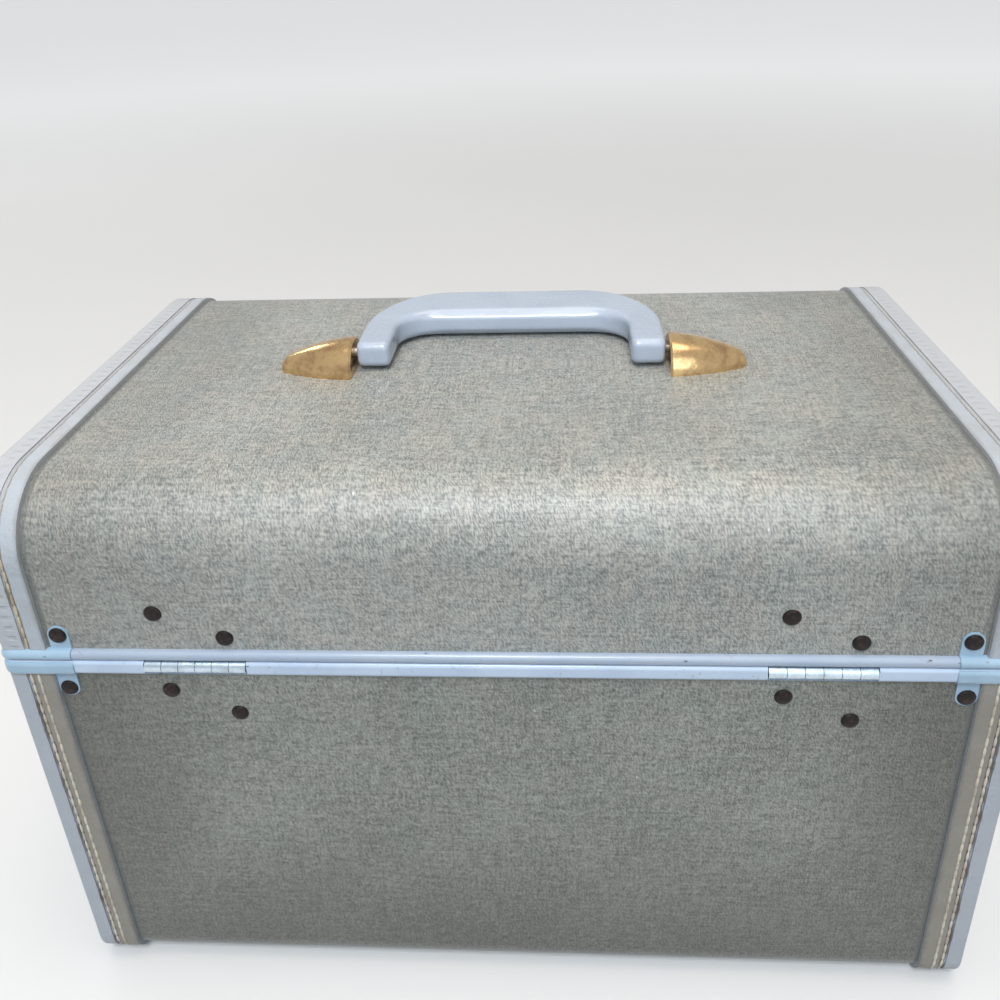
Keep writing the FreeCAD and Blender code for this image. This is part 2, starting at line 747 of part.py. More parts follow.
def handle_core():
    """Flat steel strip inside the moulding, from leg to leg."""
    half = handle_core_width / 2
    rails = []
    for offset in (half, -half):
        arc = []
        for angle in (0, math.radians(45), math.radians(90)):
            point, across = bend_point(angle)
            arc.append(point + across * offset)
        rails.append(arc)
    outer, inner = rails
    start = -handle_pin_radius - handle_core_from_pin
    edges = [Part.makeLine(Vector(outer[0].x, start, 0), outer[0]), Part.Arc(*outer).toShape(),
             Part.makeLine(outer[2], Vector(0, outer[2].y, 0)),
             Part.makeLine(Vector(0, outer[2].y, 0), Vector(0, inner[2].y, 0)),
             Part.makeLine(Vector(0, inner[2].y, 0), inner[2]),
             Part.Arc(inner[2], inner[1], inner[0]).toShape(),
             Part.makeLine(inner[0], Vector(inner[0].x, start, 0)),
             Part.makeLine(Vector(inner[0].x, start, 0), Vector(outer[0].x, start, 0))]
    strip = Part.Face(Part.Wire(edges)).extrude(Vector(0, 0, handle_core_thickness))
    strip.translate(Vector(0, 0, handle_pivot_z - handle_core_thickness / 2))
    return strip.fuse(strip.mirror(Vector(0, 0, 0), Vector(1, 0, 0))).removeSplitter()


def handle_pin(side):
    """Pivot pin of one leg, running in the cap."""
    start = side * (handle_half_length - handle_pin_in_leg)
    return x_cylinder(handle_pin_radius, start, side * (cap_face_x + handle_pin_in_cap),
                      0, handle_pivot_z)


def bullet(side):
    """Half of a blunt bullet lying on the lid, flat end towards the handle."""
    bevel, slope = cap_face_bevel, cap_top_slope
    nose_centre = cap_length - cap_nose_radius
    run = nose_centre - bevel
    radius = ((run ** 2 + cap_radius ** 2 - cap_nose_radius ** 2) / 2
              / (cap_radius * math.cos(slope) - run * math.sin(slope) - cap_nose_radius))
    arc_centre = Vector(bevel - radius * math.sin(slope), cap_radius - radius * math.cos(slope), 0)
    meet_angle = math.atan2(-arc_centre.y, nose_centre - arc_centre.x)

    def on_arc(angle):
        return arc_centre + Vector(math.cos(angle), math.sin(angle), 0) * radius

    def on_nose(angle):
        return Vector(nose_centre, 0, 0) + Vector(math.cos(angle), math.sin(angle), 0) * cap_nose_radius

    start_angle = math.pi / 2 - slope
    edges = [Part.makeLine(Vector(0, 0, 0), Vector(0, cap_radius - bevel, 0)),
             Part.makeLine(Vector(0, cap_radius - bevel, 0), Vector(bevel, cap_radius, 0)),
             Part.Arc(on_arc(start_angle), on_arc((start_angle + meet_angle) / 2),
                      on_arc(meet_angle)).toShape(),
             Part.Arc(on_nose(meet_angle), on_nose(meet_angle / 2), on_nose(0)).toShape(),
             Part.makeLine(Vector(cap_length, 0, 0), Vector(0, 0, 0))]
    solid = Part.Face(Part.Wire(edges)).revolve(Vector(0, 0, 0), Vector(1, 0, 0), 180)
    if side < 0:
        solid = solid.mirror(Vector(0, 0, 0), Vector(1, 0, 0))
    solid.translate(Vector(side * cap_face_x, 0, roof_z))
    return solid


def cap_studs(side):
    """Studs of one cap, down through the lid board and peened over the backing plate."""
    bottom = roof_z + board_inward
    return [Part.makeCylinder(cap_stud_radius, cap_stud_in_cap + roof_z - bottom,
                              Vector(cap_face_x * side + side * place, 0, bottom))
            for place in cap_stud_from_face]


def handle_cap(side):
    """Cast cap at one end of the handle: half bullet, studs and the bore for the pin."""
    face = side * cap_face_x
    bore = x_cylinder(handle_pin_radius + running_clearance, face - side,
                      face + side * (handle_pin_in_cap + running_clearance), 0, handle_pivot_z)
    return fuse([bullet(side)] + cap_studs(side)).cut(bore)


def cap_plate_space(side):
    """Rebate for the backing plate of one cap, in the underside of the lid board."""
    start = side * (cap_face_x + cap_plate_from_face)
    z0 = roof_z + board_inward
    return box(start, start + side * cap_plate_length, -cap_plate_width / 2, cap_plate_width / 2,
               z0 - cut_margin, z0 + cap_plate_thickness)


def cap_plate(side):
    """Steel plate that spreads the pull of one cap, let into the lid board."""
    start = side * (cap_face_x + cap_plate_from_face)
    z0 = roof_z + board_inward
    plate = box(start, start + side * cap_plate_length, -cap_plate_width / 2, cap_plate_width / 2,
                z0, z0 + cap_plate_thickness)
    return plate.cut(group(cap_studs(side)))


def lid_fixing_holes():
    """Stud holes and plate rebates in the lid, for both caps."""
    return [at_handle(shape) for _, side in SIDES
            for shape in cap_studs(side) + [cap_plate_space(side)]]


# ---- front latches ----
def front(x0, x1, out0, out1, z0, z1):
    """Box on the front wall."""
    return wall_box(-1, x0, x1, out0, out1, z0, z1)


def soften(shape, radius, test):
    """Round the edges of a shape whose bounds pass a test."""
    return shape.makeFillet(radius, [e for e in shape.Edges if test(e.BoundBox)])


def bevel_face(shape, size, y):
    """Bevel the edges of a shape that lie all in the front plane at y."""
    edges = [e for e in shape.Edges if abs(e.BoundBox.YMin - y) < 0.01
             and abs(e.BoundBox.YMax - y) < 0.01]
    return shape.makeChamfer(size, edges)


def lock_case_rivets(side):
    """Rivets of one lock plate, two at each side."""
    centre = side * lock_centre
    x_out = lock_plate_half_width - lock_rivet_from_side
    z = lock_box_top_z - lock_box_height / 2
    reach = lock_box_height / 2 - lock_rivet_from_side
    return [small_rivet(centre + sign * x_out, z + up * reach, lock_plate_thickness)
            for sign in (-1, 1) for up in (-1, 1)]


def small_rivet(x, z, seat):
    """Small round-headed rivet in the front wall."""
    head = latch_rivet_head_radius
    piece = rivet(seat - board_inward, head, head / 2, head / 2)
    return placed(piece, Vector(x, wall_y(-1, seat), z), Vector(0, -1, 0))


def hook_z():
    """Bottom and top of the hook."""
    top = seam_z - hook_top_below_seam
    return top - hook_height, top


def lock_plate(side):
    """Lock case of one latch: flanged plate and a raised hollow box, slotted for the parts."""
    centre = side * lock_centre
    plate = front(centre - lock_plate_half_width, centre + lock_plate_half_width, 0,
                  lock_plate_thickness, lock_box_floor_z - lock_plate_margin / 2, lock_top_z)
    plate = soften(plate, lock_plate_margin, lambda b: b.XLength < 0.01 and b.ZLength < 0.01)
    raised = front(centre - lock_box_half_width, centre + lock_box_half_width, 0, lock_box_depth,
                   lock_box_floor_z, lock_box_top_z)
    raised = soften(raised, lock_box_rounding,
                    lambda b: b.XLength < 0.01 and b.ZLength < 0.01)
    raised = bevel_face(raised, lock_box_rounding / 2, wall_y(-1, lock_box_depth))
    wall = lock_box_wall
    hollow = front(centre - lock_box_half_width + wall, centre + lock_box_half_width - wall, -wall,
                   lock_box_depth - wall, lock_box_floor_z + wall, lock_box_top_z - wall)
    bottom, _ = hook_z()
    half_notch = hook_thickness / 2 + hook_notch_clearance
    notch = front(centre - half_notch, centre + half_notch,
                  hasp_back - hook_depth - hook_notch_clearance, lock_box_depth + cut_margin,
                  bottom - hook_notch_clearance, lock_box_top_z + cut_margin)
    stem = bolt_stem_x(side)
    slot_half = bolt_stem_half_length + bolt_stem_gap
    slot = front(stem + side * slot_half, stem - side * (bolt_travel + slot_half),
                 lock_box_depth - 2 * wall, lock_box_depth + cut_margin,
                 button_z - bolt_stem_half_height - bolt_stem_gap,
                 button_z + bolt_stem_half_height + bolt_stem_gap)
    case = fuse([plate, raised]).cut(hollow).cut(notch).cut(slot)
    return case.cut(group(lock_case_rivets(side)))


def bolt_stem_x(side):
    """X of the button's stem with the bolt drawn back, on the outer side of the hook."""
    centre = side * lock_centre
    return centre + side * (hook_thickness / 2 + bolt_tip_gap + bolt_stem_from_tip)


def bolt_layers():
    """Inner and outer distance of the bolt plate from the front wall."""
    outer = lock_box_depth - lock_box_wall - bolt_behind_front
    return outer - bolt_thickness, outer


def bolt_stem(side):
    """Stem that joins the button to the bolt plate."""
    stem = bolt_stem_x(side)
    inner, _ = bolt_layers()
    return front(stem - bolt_stem_half_length, stem + bolt_stem_half_length, inner,
                 lock_box_depth + button_gap + button_height / 2,
                 button_z - bolt_stem_half_height, button_z + bolt_stem_half_height)


def latch_bolt(side):
    """Bolt plate of one latch: the finger that enters the hook, and the web down to the stem."""
    tip = bolt_stem_x(side) - side * bolt_stem_from_tip
    tail = tip + side * bolt_length
    inner, outer = bolt_layers()
    bottom, top = hook_z()
    finger_top = (bottom + top) / 2 + bolt_finger_height / 2
    finger = front(tip, tail, inner, outer, finger_top - bolt_finger_height, finger_top)
    web_start = side * (lock_centre + hook_thickness / 2 + bolt_travel + 2 * bolt_stem_gap)
    low = button_z - bolt_stem_half_height - bolt_stem_gap
    web = front(web_start, tail, inner, outer, low, finger_top)
    lug_start = bolt_stem_x(side) - side * (bolt_stem_half_length + bolt_stem_gap)
    lug = front(lug_start, tail, inner, outer, low, button_z + bolt_stem_half_height + bolt_stem_gap)
    return fuse([finger, web, lug]).cut(bolt_stem(side))


def latch_button(side):
    """Ribbed finger button of one latch with its stem."""
    stem = bolt_stem_x(side)
    low = lock_box_depth + button_gap
    high = hasp_back + button_height
    button = front(stem - button_half_length, stem + button_half_length, low, high,
                   button_z - button_half_height, button_z + button_half_height)
    button = bevel_face(button, button_height / 3, wall_y(-1, high))
    pitch = 2 * button_half_length / (button_ribs + 1)
    for index in range(1, button_ribs + 1):
        x = stem - button_half_length + index * pitch
        button = button.cut(wall_groove(x, high, pitch / 4))
    return fuse([bolt_stem(side), button])


def wall_groove(x, high, half):
    """Upright groove across the face of a button."""
    reach = button_half_height + cut_margin
    return front(x - half, x + half, high - button_rib_depth, high + cut_margin,
                 button_z - reach, button_z + reach)


def hasp(side):
    """Hasp of one latch: rolled knuckle and plate."""
    centre = side * lock_centre
    y = wall_y(-1, hasp_pivot_outward)
    knuckle = x_cylinder(hasp_knuckle_radius, centre - hasp_knuckle_half, centre + hasp_knuckle_half,
                         y, hasp_pivot_z)
    neck = front(centre - hasp_knuckle_half, centre + hasp_knuckle_half, hasp_back,
                 hasp_back + hasp_thickness, seam_z + hasp_pivot_above_seam / 2, hasp_pivot_z)
    plate_top = hasp_pivot_z - hasp_knuckle_radius - hasp_side_gap
    plate_bottom = seam_z - hasp_below_seam
    plate = front(centre - hasp_half_width, centre + hasp_half_width, hasp_back,
                  hasp_back + hasp_thickness, plate_bottom, plate_top)
    corner = hasp_half_width / 2
    plate = soften(plate, corner, lambda b: b.XLength < 0.01 and b.ZLength < 0.01
                   and abs(b.ZMin - plate_bottom) < 0.01)
    plate = soften(plate, corner / 4, lambda b: b.XLength < 0.01 and b.ZLength < 0.01
                   and abs(b.ZMin - plate_top) < 0.01)
    bore = x_cylinder(hasp_pin_radius + running_clearance, centre - hasp_half_width,
                      centre + hasp_half_width, y, hasp_pivot_z)
    return fuse([knuckle, neck, plate]).cut(bore)


def hasp_hook(side):
    """Hook behind one hasp: a leg inwards and the bar that the bolt passes in front of."""
    x0 = side * lock_centre - hook_thickness / 2
    x1 = x0 + hook_thickness
    bottom, top = hook_z()
    inner = hasp_back - hook_depth
    return fuse([front(x0, x1, inner, inner + hook_bar, bottom, top),
                 front(x0, x1, inner, hasp_back, top - hook_leg, top)])


def hasp_ear_span():
    """Inner and outer distance of the hasp plate's ears from the latch's middle."""
    inner = hasp_knuckle_half + hasp_side_gap
    return inner, inner + hasp_ear_width


def hasp_mount_rivets(side):
    """Rivets of one hasp plate."""
    x_out = lock_plate_half_width - 2 * lock_rivet_from_side
    z = hasp_pivot_z + hasp_plate_height / 2
    return [small_rivet(side * lock_centre + sign * x_out, z, lock_plate_thickness)
            for sign in (-1, 1)]


def hasp_mount(side):
    """Plate on the lid that carries one hasp between two ears."""
    centre = side * lock_centre
    low = LID.binding_rim + hasp_side_gap
    high = hasp_pivot_z + hasp_plate_height - hasp_pivot_above_seam / 2
    half = lock_plate_half_width - lock_rivet_from_side
    plate = front(centre - half, centre + half, 0, lock_plate_thickness, low, high)
    plate = soften(plate, lock_plate_margin, lambda b: b.XLength < 0.01 and b.ZLength < 0.01)
    inner, outer = hasp_ear_span()
    parts = [plate]
    y = wall_y(-1, hasp_pivot_outward)
    for sign in (-1, 1):
        x0, x1 = centre + sign * inner, centre + sign * outer
        parts.append(x_cylinder(hasp_knuckle_radius, x0, x1, y, hasp_pivot_z))
        parts.append(front(x0, x1, 0, hasp_pivot_outward, hasp_pivot_z - hasp_knuckle_radius,
                           hasp_pivot_z + hasp_knuckle_radius))
    bore = x_cylinder(hasp_pin_radius, centre - outer, centre + outer, y, hasp_pivot_z)
    return fuse(parts).cut(bore).cut(group(hasp_mount_rivets(side)))


def hasp_pin(side):
    """Pin of one hasp, fast in the ears."""
    _, outer = hasp_ear_span()
    centre = side * lock_centre
    return x_cylinder(hasp_pin_radius, centre - outer, centre + outer,
                      wall_y(-1, hasp_pivot_outward), hasp_pivot_z)


# ---- interior ----
def tapered_block(half_x, half_y, radius, z0, z1, draft):
    """Rounded block that narrows downwards by a draft on each side."""
    wires = []
    for z, less in ((z0, draft), (z1, 0.0)):
        flat = rounded_block(half_x - less, half_y - less, radius, z, z + cut_margin)
        face = [f for f in flat.Faces if abs(f.BoundBox.ZMax - z) < 0.01]
        wires.append(face[0].OuterWire)
    return Part.makeLoft(wires, True, True)


def tray_body():
    """Lift-out tray: tapered shell with a rolled lip and a finger notch at each end."""
    wall_along = tray_half_x - tray_lip
    wall_across = tray_half_y - tray_lip
    shell = tapered_block(wall_along, wall_across, tray_corner_radius, tray_bottom_z, tray_top_z,
                          tray_draft)
    lip = rounded_block(tray_half_x, tray_half_y, tray_corner_radius + tray_lip,
                        tray_top_z - tray_lip_height, tray_top_z)
    hollow = tapered_block(wall_along - tray_wall, wall_across - tray_wall,
                           tray_corner_radius - tray_wall,
                           tray_bottom_z + tray_floor, tray_top_z + cut_margin, tray_draft)
    reach = tray_half_x + cut_margin
    notch = x_cylinder(tray_finger_radius, -reach, reach, 0, tray_top_z)
    return shell.fuse(lip).cut(hollow).cut(notch).removeSplitter()


def tray_inner_half(z, half):
    """Half size of the tray's inside at a height, from its half size at the rim."""
    top = tray_top_z + cut_margin
    rise = top - (tray_bottom_z + tray_floor)
    return half - tray_draft * (top - z) / rise


def tray_dividers():
    """One long divider and two cross dividers, standing in the tray."""
    z0 = tray_bottom_z + tray_floor
    z1 = tray_top_z - divider_below_rim
    inner_x = tray_inner_half(z0, tray_half_x - tray_lip - tray_wall) - divider_clearance
    inner_y = tray_inner_half(z0, tray_half_y - tray_lip - tray_wall) - divider_clearance
    half = divider_thickness / 2
    long_divider = box(-inner_x, inner_x, long_divider_at - half, long_divider_at + half, z0, z1)
    pieces = [long_divider]
    for _, side in SIDES:
        x = side * cross_divider_at
        pieces.append(box(x - half, x + half, long_divider_at + half + divider_clearance, inner_y,
                          z0, z1))
    return group(pieces)


def tray_ledge(side):
    """Wooden strip on the lining of one end, under the tray."""
    inner = half_length + lining_inward
    top = tray_bottom_z - tray_seat_gap
    ledge = box(side * (inner - ledge_width), side * inner, -ledge_half_length, ledge_half_length,
                top - ledge_height, top)
    return soften(ledge, ledge_width / 3, lambda b: b.XLength < 0.01 and b.ZLength < 0.01
                  and abs(b.XMin - side * (inner - ledge_width)) < 0.01
                  and abs(b.ZMin - (top - ledge_height)) < 0.01)


def mirror():
    """Mirror glass in the lid."""
    z1 = mirror_back_z - mirror_clearance
    return rounded_block(mirror_half_length, mirror_half_width, mirror_corner_radius,
                         z1 - mirror_thickness, z1)


def mirror_frame():
    """Moulded frame that holds the mirror to the lid lining."""
    grow = mirror_frame_width - mirror_frame_lip
    outer = rounded_block(mirror_half_length + grow, mirror_half_width + grow,
                          mirror_corner_radius + grow, mirror_back_z - mirror_frame_height,
                          mirror_back_z)
    lower = level_edges(outer, mirror_back_z - mirror_frame_height)
    outer = outer.makeChamfer(mirror_frame_lip / 2, lower)
    sight = rounded_block(mirror_half_length - mirror_frame_lip, mirror_half_width - mirror_frame_lip,
                          mirror_corner_radius, mirror_back_z - mirror_frame_height - cut_margin,
                          mirror_back_z)
    rebate = rounded_block(mirror_half_length + mirror_clearance, mirror_half_width + mirror_clearance,
                           mirror_corner_radius + mirror_clearance,
                           mirror_back_z - 2 * mirror_clearance - mirror_thickness, mirror_back_z)
    return outer.cut(sight).cut(rebate)


# ---- assembly ----
def half_nodes(half):
    """Nodes that the base and the lid have in common."""
    clips = clip_rivets(half)
    leaves = hinge_rivets(half)
    latch = [r for _, side in SIDES
             for r in (lock_case_rivets(side) if half is BASE else hasp_mount_rivets(side))]
    holes = clips + leaves + latch + (lid_fixing_holes() if half is LID else [])
    nodes = {
        "shell_board": shell_board(half, holes),
        "cloth": cloth(half, holes),
        "lining": lining(half),
        "valance": valance(half),
        "corner_clips": corner_clips(half, clips),
        "clip_rivets": group(clips),
        "hinge_rivets": group(leaves),
        "latch_rivets": group(latch),
    }
    for word, side in SIDES:
        nodes["end_board_" + word] = end_board(half, side, holes)
        nodes["binding_" + word] = binding(half, side)
        nodes["hinge_leaf_" + word] = hinge_leaf_piece(half, side)
    return {half.name + "_" + name: shape for name, shape in nodes.items()}


def all_nodes():
    """Every node of the case by name."""
    nodes = {}
    nodes.update(half_nodes(BASE))
    nodes.update(half_nodes(LID))
    for word, side in SIDES:
        nodes["hinge_pin_" + word] = hinge_pin(side)
        nodes["handle_cap_" + word] = at_handle(handle_cap(side))
        nodes["handle_plate_" + word] = at_handle(cap_plate(side))
        nodes["lock_plate_" + word] = lock_plate(side)
        nodes["latch_bolt_" + word] = latch_bolt(side)
        nodes["latch_button_" + word] = latch_button(side)
        nodes["hasp_" + word] = hasp(side)
        nodes["hasp_hook_" + word] = hasp_hook(side)
        nodes["hasp_mount_" + word] = hasp_mount(side)
        nodes["hasp_pin_" + word] = hasp_pin(side)
        nodes["tray_ledge_" + word] = tray_ledge(side)
    nodes["handle_grip"] = at_handle(handle_grip())
    nodes["handle_core"] = at_handle(handle_core())
    nodes["handle_pins"] = at_handle(group([handle_pin(side) for _, side in SIDES]))
    nodes["tray_body"] = tray_body()
    nodes["tray_dividers"] = tray_dividers()
    nodes["mirror"] = mirror()
    nodes["mirror_frame"] = mirror_frame()
    return nodes


def main():
    """Write one STEP file for each node, with the case set on its bounding box centre."""
    os.makedirs("parts", exist_ok=True)
    for name, shape in all_nodes().items():
        shape.translate(Vector(0, centre_y, 0))
        shape.exportStep("parts/" + name + ".step")
        solids = len(shape.Solids)
        print(name, "solids", solids, "volume", round(shape.Volume, 1), "valid", shape.isValid())


main()
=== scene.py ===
import logging
import math
from collections.abc import Callable
from dataclasses import dataclass
from enum import Enum

import bpy
from mathutils import Matrix, Vector


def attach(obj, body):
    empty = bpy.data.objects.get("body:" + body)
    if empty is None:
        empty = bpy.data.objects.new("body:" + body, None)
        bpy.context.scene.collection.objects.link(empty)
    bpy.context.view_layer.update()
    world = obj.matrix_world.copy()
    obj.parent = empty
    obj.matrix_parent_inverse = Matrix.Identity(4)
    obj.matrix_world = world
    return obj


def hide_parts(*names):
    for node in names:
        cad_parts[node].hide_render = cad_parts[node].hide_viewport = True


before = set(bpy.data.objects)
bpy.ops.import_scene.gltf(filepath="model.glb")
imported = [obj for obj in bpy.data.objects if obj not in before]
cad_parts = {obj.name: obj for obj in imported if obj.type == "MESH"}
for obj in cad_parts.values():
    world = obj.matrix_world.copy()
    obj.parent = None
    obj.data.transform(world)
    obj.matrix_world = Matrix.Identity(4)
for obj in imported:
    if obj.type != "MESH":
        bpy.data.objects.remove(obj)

# Dress for a vanity travel case: woven cloth, stitched vinyl binding, enamelled rim,
# lacquered rivets, plastic handle and gilt fittings. Sizes of the case are in millimetres and
# those of the studio in metres, and places are in the frame of the imported case. The groove
# of the vinyl is painted with shade, faint on the lid's top and dark lower down, and its thread
# turns a faded grey on the top; the two heights below mark where.

MM = 0.001
TOP_FROM = 216.0
SIDES_BELOW = 190.0
LOG = logging.getLogger("case")

Colour = tuple[float, float, float]
Object = bpy.types.Object
Socket = bpy.types.NodeSocket
Value = float | tuple[float, ...] | Socket


class Side(Enum):
    """The two ends of the case."""

    LEFT = -1
    RIGHT = 1


class HalfName(Enum):
    """The two halves of the case."""

    BASE = "base"
    LID = "lid"


@dataclass(frozen=True)
class CaseHalf:
    """Sizes of one half of the case that its cloth, binding and stitches follow."""

    name: HalfName
    into: int
    flat: float
    radius: float
    binding_rim: float
    groove: float
    centre_y: float = 3.15
    half_depth: float = 97.5
    half_length: float = 170.0
    above_ground: float = 0.4

    def rail(self, outward: float) -> list[tuple[float, float]]:
        """Line of the wall section, from the back rim over the flat side to the front rim.

        Args:
            outward: distance out of the cloth.

        Returns:
            Points (y, z) along the section.
        """
        half = self.half_depth + outward
        bend = self.radius + outward
        flat = self.flat + self.into * outward
        steps = 10
        back = [(half, self.binding_rim)]
        for step in range(steps + 1):
            angle = step / steps * math.pi / 2
            back.append((half - bend + bend * math.cos(angle),
                         flat - self.into * bend * (1 - math.sin(angle))))
        front = [(-y, z) for y, z in reversed(back)]
        return [(y + self.centre_y, max(z, self.above_ground)) for y, z in back + front]


BASE = CaseHalf(HalfName.BASE, -1, 1.5, 12.0, 152.55, 6.2)
LID = CaseHalf(HalfName.LID, 1, 221.5, 25.0, 163.25, 8.4)
HALVES = (BASE, LID)


# ---- finishes ----
class Mixer:
    """Node tree of one finish, with a short call for each kind of node that it uses."""

    def __init__(self, name: str) -> None:
        """Start an empty material of this name."""
        self.material = bpy.data.materials.new(name)
        self.material.use_nodes = True
        self.tree = self.material.node_tree
        self.tree.nodes.clear()
        self.place = self.new("ShaderNodeTexCoord")

    def new(self, kind: str) -> bpy.types.Node:
        """Add a node of a kind."""
        return self.tree.nodes.new(kind)

    def feed(self, socket: Socket, value: Value | None) -> None:
        """Link or set one input.

        Args:
            socket: the input.
            value: a socket to link, a number or a tuple to set, or None to leave it.
        """
        if value is None:
            return
        if isinstance(value, bpy.types.NodeSocket):
            self.tree.links.new(value, socket)
        elif isinstance(value, tuple) and len(value) == 3 and socket.type == "RGBA":
            socket.default_value = (*value, 1.0)
        else:
            socket.default_value = value

    def sum(self, kind: str, a: Value, b: Value | None = None, c: Value | None = None) -> Socket:
        """Mathematics on numbers.

        Args:
            kind: the operation.
            a: first number.
            b: second number.
            c: third number.

        Returns:
            The result.
        """
        node = self.new("ShaderNodeMath")
        node.operation = kind
        for socket, value in zip(node.inputs, (a, b, c)):
            self.feed(socket, value)
        return node.outputs[0]

    def millimetres(self) -> Socket:
        """Place on the object, in millimetres."""
        node = self.new("ShaderNodeVectorMath")
        node.operation = "SCALE"
        self.feed(node.inputs[0], self.place.outputs["Object"])
        node.inputs["Scale"].default_value = 1 / MM
        return node.outputs[0]

    def split(self, vector: Socket) -> tuple[Socket, Socket, Socket]:
        """The three parts of a vector."""
        node = self.new("ShaderNodeSeparateXYZ")
        self.feed(node.inputs[0], vector)
        return node.outputs[0], node.outputs[1], node.outputs[2]

    def join(self, x: Value, y: Value, z: Value = 0.0) -> Socket:
        """A vector of three numbers."""
        node = self.new("ShaderNodeCombineXYZ")
        for socket, value in zip(node.inputs, (x, y, z)):
            self.feed(socket, value)
        return node.outputs[0]

    def turned(self, vector: Socket, degrees: float, stretch: tuple[float, float, float]) -> Socket:
        """A vector turned about Z and then stretched.

        Args:
            vector: the vector.
            degrees: turn.
            stretch: factor along each turned axis.

        Returns:
            The new vector.
        """
        turn = self.new("ShaderNodeVectorRotate")
        turn.rotation_type = "Z_AXIS"
        self.feed(turn.inputs["Vector"], vector)
        turn.inputs["Angle"].default_value = math.radians(degrees)
        node = self.new("ShaderNodeVectorMath")
        node.operation = "MULTIPLY"
        self.feed(node.inputs[0], turn.outputs[0])
        node.inputs[1].default_value = stretch
        return node.outputs[0]

    def noise(self, vector: Socket, per_mm: float, detail: float = 2.0, rough: float = 0.5,
              bend: float = 0.0) -> Socket:
        """Cloudy noise between 0 and 1.

        Args:
            vector: place in millimetres.
            per_mm: cells in a millimetre.
            detail: finer layers.
            rough: strength of the finer layers.
            bend: distortion.

        Returns:
            The noise.
        """
        node = self.new("ShaderNodeTexNoise")
        self.feed(node.inputs["Vector"], vector)
        node.inputs["Scale"].default_value = per_mm
        node.inputs["Detail"].default_value = detail
        node.inputs["Roughness"].default_value = rough
        node.inputs["Distortion"].default_value = bend
        return node.outputs["Fac"]

    def cells(self, vector: Socket, per_mm: float) -> Socket:
        """Distance to the nearest of scattered points, in cells."""
        node = self.new("ShaderNodeTexVoronoi")
        self.feed(node.inputs["Vector"], vector)
        node.inputs["Scale"].default_value = per_mm
        return node.outputs["Distance"]

    def spots(self, vector: Socket, per_mm: float, share: float, radius: float) -> Socket:
        """Scattered soft spots: one in some cells.

        Args:
            vector: place in millimetres.
            per_mm: cells in a millimetre.
            share: part of the cells that holds a spot.
            radius: of a spot, in cells.

        Returns:
            1 in a spot and 0 elsewhere.
        """
        node = self.new("ShaderNodeTexVoronoi")
        self.feed(node.inputs["Vector"], vector)
        node.inputs["Scale"].default_value = per_mm
        picked = self.sum("LESS_THAN", self.split(node.outputs["Color"])[0], share)
        near = self.band(node.outputs["Distance"], radius, radius * 0.4)
        return self.sum("MULTIPLY", picked, near)

    def band(self, value: Value, low: float, high: float, out_low: float = 0.0,
             out_high: float = 1.0) -> Socket:
        """A number carried smoothly from one range to another.

        Args:
            value: the number.
            low: its value where the result is out_low.
            high: its value where the result is out_high.
            out_low: result at low.
            out_high: result at high.

        Returns:
            The result, held between the two.
        """
        node = self.new("ShaderNodeMapRange")
        node.interpolation_type = "SMOOTHSTEP"
        falling = high < low
        self.feed(node.inputs["Value"], value)
        node.inputs["From Min"].default_value = high if falling else low
        node.inputs["From Max"].default_value = low if falling else high
        node.inputs["To Min"].default_value = out_high if falling else out_low
        node.inputs["To Max"].default_value = out_low if falling else out_high
        return node.outputs[0]

    def within(self, value: Socket, low: float, high: float, soft: float) -> Socket:
        """1 where a number lies between two limits, with soft edges."""
        return self.sum("MULTIPLY", self.band(value, low - soft, low + soft),
                        self.band(value, high + soft, high - soft))

    def blend(self, factor: Value, a: Value, b: Value, kind: str = "MIX") -> Socket:
        """Mix of two colours.

        Args:
            factor: share of b.
            a: first colour.
            b: second colour.
            kind: way of mixing.

        Returns:
            The colour.
        """
        node = self.new("ShaderNodeMix")
        node.data_type = "RGBA"
        node.blend_type = kind
        self.feed(node.inputs[0], factor)
        self.feed(node.inputs[6], a)
        self.feed(node.inputs[7], b)
        return node.outputs[2]

    def relief(self, height: Socket, depth_mm: float, under: Socket | None = None) -> Socket:
        """Bump from a height between 0 and 1.

        Args:
            height: the height.
            depth_mm: real height of 1.
            under: normal to build on.

        Returns:
            The normal.
        """
        node = self.new("ShaderNodeBump")
        node.inputs["Distance"].default_value = depth_mm * MM
        node.inputs["Strength"].default_value = 1.0
        self.feed(node.inputs["Height"], height)
        self.feed(node.inputs["Normal"], under)
        return node.outputs[0]

    def surface(self, colour: Value, rough: Value, normal: Socket | None = None,
                **plain: float | tuple[float, ...]) -> bpy.types.Material:
        """Finish the material.

        Args:
            colour: base colour.
            rough: roughness.
            normal: bumped normal.
            **plain: other inputs of the shader, with spaces as underscores.

        Returns:
            The material.
        """
        shader = self.new("ShaderNodeBsdfPrincipled")
        self.feed(shader.inputs["Base Color"], colour)
        self.feed(shader.inputs["Roughness"], rough)
        self.feed(shader.inputs["Normal"], normal)
        for name, value in plain.items():
            self.feed(shader.inputs[name.replace("_", " ")], value)
        out = self.new("ShaderNodeOutputMaterial")
        self.tree.links.new(shader.outputs[0], out.inputs["Surface"])
        return self.material


